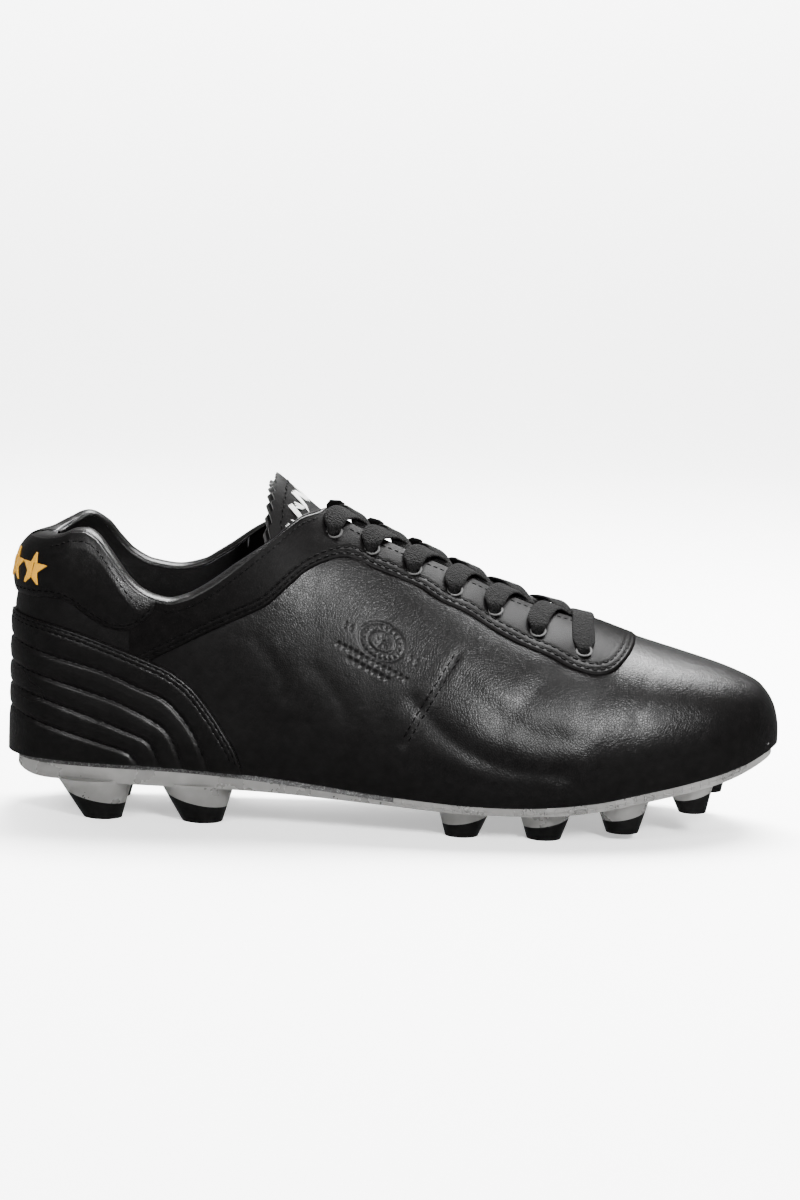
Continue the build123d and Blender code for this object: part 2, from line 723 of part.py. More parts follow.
# From the last eyelets the ends go down between the tongue and the lining of their own side,
# and forward along the sockliner.
TAIL_FROM_LATERAL = [
    (-26.5, -17.9, 97), (-27, -23.9, 84), (-25, -27.6, 71), (-20, -30.8, 57), (-12, -32.5, 44),
    (-1, -32, 32.5), (12, -31.5, 25.4), (25, -31.5, 22.6), (38, -31.5, 21.9), (50, -32, 22.3),
]
TAIL_FROM_MEDIAL = [
    (-26.5, 15.6, 96), (-26.5, 19, 83), (-24, 21.6, 70), (-19, 23.4, 56), (-11, 24.2, 43),
    (0, 24.5, 32), (13, 24.4, 25.2), (26, 25.2, 22.6), (38, 26.5, 21.9), (50, 28, 22.3),
]


def lace_radii(route):
    """The largest arc that fits at each corner of the route."""
    radii = []
    for before, here, after in zip(route, route[1:], route[2:]):
        turn = radians((here - before).get_angle(after - here))
        shorter = min((here - before).length, (after - here).length)
        radii.append(0.45 * shorter / max(sin(turn / 2) / cos(turn / 2), 1e-3))
    return radii


lateral_half = lace_half(-1, TAIL_FROM_LATERAL)
medial_half = lace_half(1, TAIL_FROM_MEDIAL)
bar_x = EYELETS[0][0]
bar = [
    ridge_side(bar_x, -7.5, LACE_LIFT + 0.3), ridge_side(bar_x + 0.6, 0.0, LACE_LIFT),
    ridge_side(bar_x, 11.5, LACE_LIFT + 0.3),
]
lace_route = lateral_half[::-1] + bar + medial_half
radii = lace_radii(lace_route)
print("lace radii, smallest:", [round(r, 1) for r in sorted(radii)[:8]])
with BuildPart() as lace:
    with BuildLine() as lace_path:
        FilletPolyline(*lace_route, radius=radii)
    start = lace_path.line @ 0
    with BuildSketch(Plane(origin=start, z_dir=lace_path.line % 0)):
        Circle(LACE_DIAMETER / 2)
    sweep()
save(lace.part, "lace")
route_length = lace_path.wires()[0].length
print("lace length", round(route_length), "volume ratio",
      round(lace.part.volume / (route_length * pi * LACE_DIAMETER**2 / 4), 3))

with BuildPart() as lace_aglets:
    for end, before in ((lace_route[0], lace_route[1]), (lace_route[-1], lace_route[-2])):
        forward = (end - before).normalized()
        with BuildSketch(Plane(origin=end + forward * 0.02, z_dir=forward)):
            Circle(AGLET[1] / 2)
        extrude(amount=AGLET[0])
save(lace_aglets.part, "lace_aglets")
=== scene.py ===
"""Looks of the leather football boot: skins, stitching, lace, tongue, sole and studio."""

import math

import bmesh
import bpy
import numpy as np
from mathutils import Euler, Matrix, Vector


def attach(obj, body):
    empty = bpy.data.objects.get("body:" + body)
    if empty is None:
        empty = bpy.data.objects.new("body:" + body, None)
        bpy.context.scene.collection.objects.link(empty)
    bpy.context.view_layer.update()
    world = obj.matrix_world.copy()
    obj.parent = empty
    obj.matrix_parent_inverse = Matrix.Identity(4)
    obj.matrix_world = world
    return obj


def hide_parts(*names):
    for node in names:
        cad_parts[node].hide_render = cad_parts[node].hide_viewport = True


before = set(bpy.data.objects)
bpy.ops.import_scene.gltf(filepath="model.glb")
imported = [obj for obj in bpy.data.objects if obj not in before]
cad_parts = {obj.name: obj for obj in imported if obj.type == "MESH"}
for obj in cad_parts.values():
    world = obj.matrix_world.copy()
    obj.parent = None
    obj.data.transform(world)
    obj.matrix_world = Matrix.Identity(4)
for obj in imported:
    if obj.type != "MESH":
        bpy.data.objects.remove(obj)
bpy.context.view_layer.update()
MM = 0.001
THINNEST_FACE = 0.004
ROOT = "root"
TONGUE = "tongue"

# ---------------------------------------------------------------- camera
CAMERA_DISTANCE = 1.30
CAMERA_ELEVATION = math.radians(9.0)
CAMERA_ROLL = math.radians(1.9)
LOOK_AT = Vector((0.0, 0.0, 0.0815))
VIEW_HEIGHT = 0.447  # what the picture's height spans at the boot


def make_camera():
    data = bpy.data.cameras.new("camera")
    camera = bpy.data.objects.new("camera", data)
    bpy.context.scene.collection.objects.link(camera)
    back = Vector((0, -math.cos(CAMERA_ELEVATION), math.sin(CAMERA_ELEVATION)))
    camera.location = LOOK_AT + back * CAMERA_DISTANCE
    turn = (-back).to_track_quat("-Z", "Y")
    roll = Euler((0, 0, CAMERA_ROLL)).to_quaternion()
    camera.rotation_mode = "QUATERNION"
    camera.rotation_quaternion = turn @ roll
    data.sensor_fit = "VERTICAL"
    data.sensor_height = 36.0
    data.lens = 36.0 * CAMERA_DISTANCE / VIEW_HEIGHT
    bpy.context.scene.camera = camera


make_camera()

# ---------------------------------------------------------------- the last shape, in mm
HEEL_X, TOE_X = -143.0, 143.0
HEEL_CENTRE, TOE_CENTRE = -110.0, 105.0
LINING, PAD_LINING = 3.4, 7.6
TONGUE_SIDE_GAP = 6.8
THROAT_END = 72.0

LATERAL_WIDTH = [
    (-143, 0), (-139, 13.5), (-135, 18.5), (-128, 23.5), (-120, 27), (-100, 31.5), (-70, 33),
    (-40, 36), (0, 42), (30, 46.5), (60, 45.5), (90, 39.5), (115, 30), (130, 20.5), (138, 12.5),
    (143, 0),
]
MEDIAL_WIDTH = [
    (-143, 0), (-139, 13.5), (-135, 18.5), (-128, 23), (-120, 26.5), (-100, 30), (-70, 29.5),
    (-40, 29), (0, 33), (30, 42), (50, 46), (70, 46.5), (95, 43), (115, 35), (130, 24.5),
    (138, 15.5), (143, 0),
]
FEATHER = [
    (-143, 21.5), (-104, 22), (-53, 20), (12, 14.2), (42, 13.2), (72, 15.2), (92, 18.8),
    (108, 21.9), (127, 26.5), (143, 33),
]
RIDGE = [
    (-143, 76), (-141.4, 86), (-138, 97), (-135, 104), (-130, 113), (-120, 127), (-108, 137),
    (-90, 142), (-70, 140), (-55, 135), (-47, 131.5), (-40, 126.5), (-30, 119.5), (-10, 109),
    (5, 102.5), (20, 96), (34, 89.5), (49, 83.5), (64, 78.5), (75, 75), (90, 70), (105, 65.5),
    (120, 61), (127, 58.5), (135, 54.7), (138.6, 51), (141.6, 45.6), (143, 40),
]
TONGUE_RIDGE = [
    (-60, 133), (-47, 128), (-40, 122.6), (-30, 114.4), (-20, 107.6), (-10, 101.8), (5, 95),
    (20, 88.4), (34, 82), (49, 75.6), (64, 70), (80, 64.5), (90, 60.5),
]
RIDGE_SHIFT = [(-143, 0), (-60, 0), (0, 2), (60, 3), (143, 3)]
FULLNESS = [
    (-143, 2.4), (-90, 2.6), (-60, 2.2), (-45, 1.95), (-30, 1.8), (0, 1.7), (40, 1.75), (70, 1.9),
    (100, 2.1), (143, 2.3),
]
LATERAL_TOPLINE = [
    (-160, 100.6), (-138, 101.2), (-131, 101.6), (-125, 103), (-120, 105.2), (-116, 105.6),
    (-112, 104), (-108, 99.8), (-104, 94.6), (-100, 89.6), (-95, 85.4), (-89, 82.8), (-84, 82),
    (-77, 83.8), (-71, 87), (-64.6, 91.4), (-58, 96.6), (-52, 101.4), (-47, 105.3), (-41, 110.4),
    (-36, 113.6), (-30, 115.2), (-20, 130),
]
MEDIAL_TOPLINE = [
    (-160, 100.6), (-138, 101.2), (-131, 102.4), (-125, 105.4), (-119, 107.6), (-112, 104),
    (-107, 98), (-102, 92.8), (-94, 88.7), (-84, 87.3), (-74, 89.5), (-68, 93.1), (-61, 98),
    (-55, 103), (-47, 108.6), (-40, 113), (-35, 116), (-30, 117.6), (-20, 132),
]
EYELETS = [(68, 68.2), (51, 74.4), (35, 81.3), (20, 88), (4.7, 95), (-11, 102), (-25, 108)]


def curve(stations):
    """A smooth function of x through (x, value) stations, without overshoot."""
    xs = np.array([s[0] for s in stations], float)
    vs = np.array([s[1] for s in stations], float)
    d = np.diff(vs) / np.diff(xs)
    m = np.zeros(len(xs))
    m[0], m[-1] = d[0], d[-1]
    both = d[:-1] + d[1:]
    safe = np.where(np.abs(both) < 1e-12, 1, both)
    m[1:-1] = np.where(d[:-1] * d[1:] > 0, 2 * d[:-1] * d[1:] / safe, 0)

    def value(x):
        x = np.clip(np.asarray(x, float), xs[0], xs[-1])
        i = np.clip(np.searchsorted(xs, x, "right") - 1, 0, len(xs) - 2)
        h = xs[i + 1] - xs[i]
        t = (x - xs[i]) / h
        return (
            vs[i] * (1 + 2 * t) * (1 - t) ** 2
            + m[i] * h * t * (1 - t) ** 2
            + vs[i + 1] * t * t * (3 - 2 * t)
            + m[i + 1] * h * t * t * (t - 1)
        )

    return value


def rooted(table):
    squares = curve([(x, w * w) for x, w in table])
    return lambda x: np.sqrt(np.maximum(squares(x), 0))


width = {-1: rooted(LATERAL_WIDTH), 1: rooted(MEDIAL_WIDTH)}
feather = curve(FEATHER)
ridge = curve(RIDGE)
tongue_ridge = curve([(x, z + TONGUE_SIDE_GAP) for x, z in TONGUE_RIDGE])
ridge_shift = curve(RIDGE_SHIFT)
fullness = curve(FULLNESS)
topline = {-1: curve(LATERAL_TOPLINE), 1: curve(MEDIAL_TOPLINE)}
FOOT_SHARE = 0.035  # how much narrower the upper is at the sole than at its widest


class Last:
    """The boot's shape: points at station x, on one side, at height share t and depth."""

    def __init__(self, top_line):
        self.top_line = top_line

    def frame(self, x, side, depth):
        foot = feather(x)
        full = self.top_line(x)
        top = np.maximum(full - depth, foot + 0.3 * (full - foot))
        wide = foot + np.minimum(15.0, 0.3 * (top - foot))
        w = width[side](x)
        end = np.where(x < 0, width[side](HEEL_CENTRE), width[side](TOE_CENTRE))
        w = w - depth * w / np.maximum(w, end)
        shift = ridge_shift(x)
        reach = np.maximum(w - side * shift, 0.4 * w)
        return foot, top, wide, shift, reach, fullness(x)

    def top(self, x, side, depth=0.0):
        return self.frame(x, side, depth)[1]

    def point(self, x, side, t, depth=0.0):
        x, t, depth = np.broadcast_arrays(
            np.asarray(x, float), np.asarray(t, float), np.asarray(depth, float)
        )
        foot, top, wide, shift, reach, n = self.frame(x, side, depth)
        angle = np.clip(t, 0, 1) * math.pi / 2
        above_y = np.cos(angle).clip(0) ** (2 / n)
        above_z = np.sin(angle).clip(0) ** (2 / n)
        below = np.clip(-t, 0, 1)
        y = shift + side * reach * np.where(t >= 0, above_y, 1 - FOOT_SHARE * below**2)
        z = np.where(t >= 0, wide + (top - wide) * above_z, wide - below * (wide - foot))
        heel = HEEL_CENTRE + (x - HEEL_CENTRE) * (1 - depth / (HEEL_CENTRE - HEEL_X))
        toe = TOE_CENTRE + (x - TOE_CENTRE) * (1 - depth / (TOE_X - TOE_CENTRE))
        moved = np.where(x < HEEL_CENTRE, heel, np.where(x > TOE_CENTRE, toe, x))
        return np.stack([moved, y, z], -1)

    def t_of_z(self, x, side, z, depth=0.0):
        foot, top, wide, _, _, n = self.frame(np.asarray(x, float), side, depth)
        rise = np.clip((z - wide) / np.maximum(top - wide, 1e-6), 0, 1)
        above = np.arcsin(rise ** (n / 2)) / (math.pi / 2)
        below = (z - wide) / np.maximum(wide - foot, 1e-6)
        return np.where(z >= wide, above, np.maximum(below, -1))

    def t_of_y(self, x, side, y, depth=0.0):
        _, _, _, shift, reach, n = self.frame(np.asarray(x, float), side, depth)
        share = np.clip(side * (y - shift) / np.maximum(reach, 1e-6), 0, 1)
        return np.arccos(share ** (n / 2)) / (math.pi / 2)


last = Last(ridge)
tongue_last = Last(tongue_ridge)


def gap_y(x, side):
    """Edge of the throat in plan."""
    x = np.asarray(x, float)
    edge = np.where(side < 0, -5.5 - (66 - x) / 126 * 3.0, 11.0 + (66 - x) / 126 * 0.5)
    closing = np.clip((x - (THROAT_END - 6)) / 6, 0, 1)
    middle = 2.75
    return middle + (edge - middle) * np.sqrt(1 - closing**2)


def upper_end(x, side, depth=0.0):
    """Height share where the upper ends: its topline, the throat's edge or the ridge."""
    x = np.asarray(x, float)
    top = last.t_of_z(x, side, topline[side](x), depth)
    slit = last.t_of_y(x, side, gap_y(x, side), depth)
    behind = np.where(x < -22, np.minimum(top, np.where(x < -44, 1.0, slit)), slit)
    return np.where(x >= THROAT_END, 1.0, behind)


# ---------------------------------------------------------------- mesh helpers
def to_object(name, verts, faces, material, body=ROOT, merge=0.0):
    """A mesh piece from points in mm and faces, that rides on a body."""
    mesh = bpy.data.meshes.new(name)
    mesh.from_pydata([tuple(v) for v in np.asarray(verts) * MM], [], [tuple(f) for f in faces])
    if merge:
        work = bmesh.new()
        work.from_mesh(mesh)
        bmesh.ops.remove_doubles(work, verts=work.verts, dist=merge * MM)
        bmesh.ops.dissolve_degenerate(work, dist=THINNEST_FACE * MM, edges=work.edges)
        work.to_mesh(mesh)
        work.free()
    mesh.polygons.foreach_set("use_smooth", [True] * len(mesh.polygons))
    mesh.materials.append(material)
    piece = bpy.data.objects.new(name, mesh)
    bpy.context.scene.collection.objects.link(piece)
    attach(piece, body)
    return piece


def grid_faces(rows, columns, offset=0, turned=False):
    """Quads of a grid whose vertex (i, j) is offset + i * columns + j."""
    faces = []
    for i in range(rows - 1):
        for j in range(columns - 1):
            a = offset + i * columns + j
            quad = (a, a + 1, a + columns + 1, a + columns)
            faces.append(quad[::-1] if turned else quad)
    return faces


def ring_faces(rings, ring, offset=0):
    """Quads of a tube made of rings of ring points each."""
    faces = []
    for i in range(rings - 1):
        a, b = offset + i * ring, offset + (i + 1) * ring
        faces += [(a + k, b + k, b + (k + 1) % ring, a + (k + 1) % ring) for k in range(ring)]
    return faces


def unit(vectors):
    """Vectors of length 1, one in each row."""
    return vectors / (np.linalg.norm(vectors, axis=-1, keepdims=True) + 1e-12)


def square_to(vectors, tangent):
    """What is left of the vectors square to the tangents."""
    return vectors - tangent * (vectors * tangent).sum(-1, keepdims=True)


def run_along(points):
    """Distance of each point along a line from its start."""
    return np.concatenate([[0], np.cumsum(np.linalg.norm(np.diff(points, axis=0), axis=1))])


def look_up(at, known, table):
    """Points of a table, known at the values known, read off at other values."""
    return np.stack([np.interp(at, known, table[:, k]) for k in range(table.shape[1])], -1)


def bell(d, half):
    return np.exp(-((d / half) ** 2))


def eased(s):
    return s * s * (3 - 2 * s)


def wall_grid(xs, side, low, high, rows, depth, dense):
    """Points of a wall at stations xs between height shares low and high, evenly spaced."""
    s = np.linspace(0, 1, 60)
    t = low[:, None] + (high - low)[:, None] * s[None, :]
    walls = last.point(xs[:, None], side, t, 0.0)
    want = np.linspace(0, 1, rows) ** (1 + dense)
    out_t = np.empty((len(xs), rows))
    for i, wall in enumerate(walls):
        run = run_along(wall)
        out_t[i] = np.interp(want * max(run[-1], 1e-9), run, t[i])
    x = np.repeat(xs[:, None], rows, axis=1)
    return last.point(x, side, out_t, depth(x, last.point(x, side, out_t), side))


def distance_to_line(points, x, z):
    """Distance in the side view from (x, z) to an open polyline."""
    p = np.asarray(points, float)
    best = np.full(np.shape(x), 1e9)
    for a, b in zip(p[:-1], p[1:]):
        d = b - a
        s = np.clip(((x - a[0]) * d[0] + (z - a[1]) * d[1]) / (d @ d), 0, 1)
        best = np.minimum(best, np.hypot(x - a[0] - s * d[0], z - a[1] - s * d[1]))
    return best


def smooth_line(points, step=1.5):
    """A smooth open line through points, sampled about every step mm (Catmull-Rom)."""
    p = np.asarray(points, float)
    p = np.vstack([2 * p[0] - p[1], p, 2 * p[-1] - p[-2]])
    out = []
    for i in range(1, len(p) - 2):
        a, b, c, d = p[i - 1], p[i], p[i + 1], p[i + 2]
        n = max(2, int(np.linalg.norm(c - b) / step))
        for s in np.linspace(0, 1, n, endpoint=False):
            out.append(
                0.5 * (2 * b + (c - a) * s + (2 * a - 5 * b + 4 * c - d) * s**2
                       + (3 * b - a - 3 * c + d) * s**3)
            )
    out.append(p[-2])
    return np.array(out)


def noise2(x, z, size, seed):
    """Smooth value noise in the side view, from -1 to 1."""
    rng = np.random.default_rng(seed)
    table = rng.uniform(-1, 1, (128, 128))
    u, v = np.asarray(x) / size + 40.3, np.asarray(z) / size + 31.7
    iu, iv = np.floor(u).astype(int), np.floor(v).astype(int)
    fu, fv = u - iu, v - iv
    fu, fv = eased(fu), eased(fv)
    a, b = table[iu % 128, iv % 128], table[(iu + 1) % 128, iv % 128]
    c, d = table[iu % 128, (iv + 1) % 128], table[(iu + 1) % 128, (iv + 1) % 128]
    return (a * (1 - fu) + b * fu) * (1 - fv) + (c * (1 - fu) + d * fu) * fv


# ---------------------------------------------------------------- materials
def new_material(name, color, roughness, **sockets):
    material = bpy.data.materials.new(name)
    material.use_nodes = True
    shader = material.node_tree.nodes["Principled BSDF"]
    shader.inputs["Base Color"].default_value = (*color, 1)
    shader.inputs["Roughness"].default_value = roughness
    for socket, value in sockets.items():
        shader.inputs[socket.replace("_", " ")].default_value = value
    return material, material.node_tree, shader


def coordinates(tree):
    return tree.nodes.new("ShaderNodeTexCoord").outputs["Object"]


def grey(value):
    return (value, value, value)


def noise(tree, vector, scale, detail=3.0, roughness=0.55):
    node = tree.nodes.new("ShaderNodeTexNoise")
    node.inputs["Scale"].default_value = scale
    node.inputs["Detail"].default_value = detail
    node.inputs["Roughness"].default_value = roughness
    tree.links.new(vector, node.inputs["Vector"])
    return node.outputs["Fac"]


def cells(tree, vector, scale, feature="DISTANCE_TO_EDGE"):
    node = tree.nodes.new("ShaderNodeTexVoronoi")
    node.feature = feature
    node.inputs["Scale"].default_value = scale
    tree.links.new(vector, node.inputs["Vector"])
    return node.outputs["Distance"]


def ramp(tree, value, stops):
    node = tree.nodes.new("ShaderNodeValToRGB")
    elements = node.color_ramp.elements
    while len(elements) < len(stops):
        elements.new(0.5)
    for element, (position, color) in zip(elements, stops):
        element.position = position
        element.color = (*color, 1)
    tree.links.new(value, node.inputs["Fac"])
    return node.outputs["Color"]


def varied_colour(tree, shader, value, *stops):
    tree.links.new(ramp(tree, value, stops), shader.inputs["Base Color"])


def varied_roughness(tree, shader, value, spread, least):
    """Roughness from least to least + spread, as the value goes from 0 to 1."""
    node = tree.nodes.new("ShaderNodeMath")
    node.operation = "MULTIPLY_ADD"
    tree.links.new(value, node.inputs[0])
    node.inputs[1].default_value = spread
    node.inputs[2].default_value = least
    tree.links.new(node.outputs["Value"], shader.inputs["Roughness"])


def bump(tree, shader, layers):
    """Chained bumps: (height, distance in mm, strength)."""
    normal = None
    for height, distance, strength in layers:
        node = tree.nodes.new("ShaderNodeBump")
        node.inputs["Distance"].default_value = distance * MM
        node.inputs["Strength"].default_value = strength
        tree.links.new(height, node.inputs["Height"])
        if normal is not None:
            tree.links.new(normal, node.inputs["Normal"])
        normal = node.outputs["Normal"]
    tree.links.new(normal, shader.inputs["Normal"])


def leather(name, color, worn, roughness, grain=1.0, crumple=1.0, gloss=0.17):
    """Full-grain leather: fine cell grain, soft crumpling and uneven finish."""
    material, tree, shader = new_material(name, color, roughness, Specular_IOR_Level=gloss)
    vector = coordinates(tree)
    grain_edges = ramp(tree, cells(tree, vector, 1150 / grain), [(0, grey(0)), (0.16, grey(1))])
    pores = noise(tree, vector, 2600 / grain, 2.0)
    crumples = noise(tree, vector, 260, 4.0, 0.6)
    folds = noise(tree, vector, 75, 3.0, 0.5)
    broad = noise(tree, vector, 28, 2.0, 0.5)
    varied_colour(tree, shader, crumples, (0.3, color), (0.75, worn))
    varied_roughness(tree, shader, broad, 0.22, roughness - 0.11)
    broad_layers = [(folds, 1.0, 0.16 * crumple), (crumples, 0.4, 0.28 * crumple)]
    bump(tree, shader, broad_layers + [(grain_edges, 0.055, 0.55), (pores, 0.034, 0.4)])
    return material


def thread(name, color, roughness=0.5, sheen=0.3, gloss=0.4):
    """Twisted sewing thread."""
    material, tree, shader = new_material(
        name, color, roughness, Sheen_Weight=sheen, Specular_IOR_Level=gloss
    )
    vector = coordinates(tree)
    twist = noise(tree, vector, 4200, 2.0)
    bright = tuple(min(1.0, c * 1.6) for c in color)
    varied_colour(tree, shader, twist, (0.35, color), (0.7, bright))
    bump(tree, shader, [(twist, 0.08, 0.5)])
    return material


def fabric(name, color, scale, roughness=0.85, sheen=0.3, depth=0.15):
    """Plain close-woven cloth or foam skin."""
    material, tree, shader = new_material(name, color, roughness, Sheen_Weight=sheen)
    vector = coordinates(tree)
    fine = cells(tree, vector, scale, "F1")
    soft = noise(tree, vector, scale * 0.3, 3.0)
    pale = tuple(min(1.0, c * 1.6 + 0.01) for c in color)
    varied_colour(tree, shader, soft, (0.3, color), (0.8, pale))
    bump(tree, shader, [(fine, depth, 0.6)])
    return material


def moulded(name, color, pale, roughness, scale=900, **sockets):
    """Moulded plastic or rubber with a fine spark-eroded texture and scuffs."""
    material, tree, shader = new_material(name, color, roughness, **sockets)
    vector = coordinates(tree)
    fine = noise(tree, vector, scale, 3.0)
    scuffs = noise(tree, vector, 120, 4.0, 0.7)
    varied_colour(tree, shader, scuffs, (0.35, color), (0.8, pale))
    varied_roughness(tree, shader, scuffs, 0.25, roughness - 0.12)
    bump(tree, shader, [(fine, 0.05, 0.4)])
    return material


BLACK, WORN_BLACK = (0.0009, 0.0008, 0.0008), (0.0018, 0.0016, 0.0016)
UPPER = leather("upper_leather", BLACK, (0.0019, 0.0017, 0.0017), 0.33)
SMOOTH = leather("panel_leather", BLACK, WORN_BLACK, 0.31, 0.9, 0.6)
FACING = leather("facing_leather", BLACK, WORN_BLACK, 0.38, 0.9, 0.6, 0.035)
TONGUE_SKIN = leather(
    "tongue_skin", (0.0010, 0.0009, 0.0009), (0.0022, 0.002, 0.002), 0.5, 1.1, 1.0, 0.06
)
INSIDE = leather("lining_skin", (0.0012, 0.0011, 0.0011), (0.0024, 0.0022, 0.0022), 0.40, 0.8, 0.8)
EDGE = fabric("leather_edge", (0.008, 0.0077, 0.0074), 1500, 0.8, 0.1, 0.1)
SOCK = fabric("sockliner_cloth", (0.012, 0.012, 0.0125), 900, 0.8, 0.3, 0.12)
THREAD = thread("black_thread", grey(0.0006), 0.5, 0.0, 0.04)
WHITE = thread("white_thread", (0.5, 0.5, 0.49), 0.45, 0.1, 0.2)
GOLD = thread("gold_thread", (0.26, 0.125, 0.002), 0.4, 0.02, 0.2)

# ---------------------------------------------------------------- relief of the leather
COUNTER_EDGE = [
    (-150, 74.6), (-142, 73.6), (-123, 71), (-105, 66), (-86, 59), (-80, 55.7), (-74, 51),
    (-68, 43.7), (-63, 36.5), (-58, 28), (-55.5, 20),
]
GROOVES = [
    [(-150, 65), (-142, 63.6), (-127.5, 60.4), (-108, 56.3), (-94, 50.8), (-86, 47.7),
     (-81, 43.8), (-76, 37.8), (-72, 31), (-68, 20)],
    [(-150, 55.6), (-143, 54.8), (-127, 51.7), (-106, 46.5), (-97, 43), (-89, 39), (-84, 35.6),
     (-80.6, 30), (-77, 20)],
    [(-150, 47.6), (-143, 46.7), (-127.5, 43.5), (-108, 38), (-100, 35), (-92, 32),
     (-88.6, 28.5), (-85.6, 20)],
    [(-150, 39.3), (-143, 38.3), (-126, 34), (-106, 29), (-97, 26), (-93, 20)],
]
FACING_EDGE = [
    (-95, 59), (-86.5, 63), (-68, 72.7), (-58, 77.6), (-49, 82), (-40, 90), (-34, 95), (-28, 97.8),
    (-22, 99.3), (-17, 98.7), (-10, 95.6), (6, 89.6), (15, 84.6), (24, 81), (37, 74), (46, 70),
    (55, 66.7), (61, 64), (68, 61.7), (73, 60.8), (79, 62), (84, 65.7), (87.5, 69.3), (88.5, 71),
]
COLLAR_PANEL_EDGE = [
    (-87.2, 88), (-88, 83), (-90, 78), (-95, 73.5), (-100, 71.6), (-106, 72.4), (-113, 75.6),
    (-120, 80), (-126, 81.6), (-133, 81), (-143, 80.5),
]
SIDE_SEAM = [(21.8, 67.5), (15.5, 57.5), (9, 46.5), (2.8, 35)]
# Flex creases of the vamp: line, depth in mm and half width in mm
CREASES = [
    ([(7, 50), (20, 38), (38, 29), (62, 26)], 0.52, 3.2),
    ([(64, 66), (52, 57), (43, 48), (38, 43)], 0.20, 3.0),
    ([(24, 60), (34, 50), (48, 42), (66, 39)], 0.20, 3.2),
    ([(10, 28), (30, 22), (52, 20)], 0.18, 2.6),
    ([(-30, 60), (-22, 52), (-18, 44), (-18, 34)], 0.20, 2.8),
    ([(-52, 70), (-44, 60), (-41, 50)], 0.18, 2.6),
    ([(76, 58), (70, 50), (69, 42)], 0.14, 2.2),
    ([(92, 60), (88, 52), (88, 44)], 0.11, 2.2),
]
# The blind-stamped emblem: centre and turn
EMBLEM = (-7.0, 69.0)
EMBLEM_TURN = math.radians(-25)
SMOOTH_GROOVES = [smooth_line(g, 3.0) for g in GROOVES]
SMOOTH_COUNTER = smooth_line(COUNTER_EDGE, 3.0)
SMOOTH_FACING = smooth_line(FACING_EDGE, 2.0)
SMOOTH_PANEL = smooth_line(COLLAR_PANEL_EDGE, 2.0)
SMOOTH_SEAM = smooth_line(SIDE_SEAM, 3.0)
SMOOTH_CREASES = [(smooth_line(line, 3.0), depth, half) for line, depth, half in CREASES]


def emblem_relief(x, z):
    """A stamped ring of beads around a plain ball, with bars under it: a generic mark."""
    u = (x - EMBLEM[0]) * math.cos(EMBLEM_TURN) + (z - EMBLEM[1]) * math.sin(EMBLEM_TURN)
    v = -(x - EMBLEM[0]) * math.sin(EMBLEM_TURN) + (z - EMBLEM[1]) * math.cos(EMBLEM_TURN)
    line = lambda d, half: np.exp(-((d / half) ** 4))
    oval = np.hypot(u / 8.6, (v - 2.2) / 6.0)
    ring = line((oval - 1) * 7.0, 0.55)
    inner = line((oval - 0.62) * 7.0, 0.4)
    turn = np.arctan2((v - 2.2) / 6.0, u / 8.6)
    beads = line((oval - 0.81) * 7.0, 0.75) * (0.5 + 0.5 * np.cos(turn * 22)) ** 2
    ball = line(np.hypot(u, v - 2.2), 2.3)
    seams = (0.5 + 0.5 * np.cos(turn * 5)) * line(np.hypot(u, v - 2.2) - 1.4, 0.9)
    under = 0
    for row, (half, level) in enumerate(((14.5, -5.6), (9.0, -8.6))):
        stripes = 0.5 + 0.5 * np.cos(u * (2 * math.pi / (2.3 + 0.3 * row)))
        under = under + line(v - level, 0.85) * (np.abs(u) < half) * np.clip(stripes * 2, 0, 1)
    wings = line(v - 2.2 + 0.05 * np.abs(u), 1.1) * (np.abs(u) > 10) * (np.abs(u) < 15)
    wings = wings * np.clip(np.cos(u * 2.6) * 2, 0, 1)
    return -0.42 * np.clip(ring + inner + beads + ball - seams + under + wings, 0, 1)


def relief(x, z, side):
    """How far the leather stands out from the last, in mm."""
    out = 0.35 * noise2(x, z, 24, 3 + side) + 0.14 * noise2(x, z, 9, 5 + side)
    forward = np.clip((x + 20) / 60, 0, 1)
    out = out * (0.55 + 0.25 * forward)
    toe = np.clip((x - 95) / 25, 0, 1)
    out = out * (1 - 0.75 * toe)
    for line, depth, half in SMOOTH_CREASES:
        if side > 0:
            line = line + np.array([3.0, 1.0])
        d = distance_to_line(line, x, z)
        out = out - depth * bell(d, half) + 0.45 * depth * bell(d - 2.4 * half, 1.4 * half)
    return out


def upper_depth(x, base, side):
    z = base[..., 2]
    out = -relief(x, z, side) + 0.35 * bell(distance_to_line(SMOOTH_SEAM, x, z), 1.5)
    if side < 0:
        near = (np.abs(x - EMBLEM[0]) < 18) & (np.abs(z - EMBLEM[1]) < 15)
        out = out - np.where(near, emblem_relief(x, z), 0)
    return out


# ---------------------------------------------------------------- skins of the upper
FOOT_T = -1.0


def joined_walls(name, grids, material, merge, nodes):
    """A skin from the grids of a lateral and a medial wall."""
    rows, columns, _ = grids[0].shape
    faces = grid_faces(rows, columns) + grid_faces(rows, columns, rows * columns, turned=True)
    verts = np.vstack([grid.reshape(-1, 3) for grid in grids])
    piece = to_object(name, verts, faces, material, merge=merge)
    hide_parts(*nodes)
    return piece


def two_walls(name, xs, low, high, rows, depth, material, nodes, dense=0.0):
    """A skin made of a lateral and a medial wall, joined where they meet."""
    grids = []
    for side in (-1, 1):
        bottom = low(xs, side)
        top = np.maximum(high(xs, side), bottom)
        grids.append(wall_grid(xs, side, bottom, top, rows, depth, dense))
    return joined_walls(name, grids, material, 0.02, nodes)


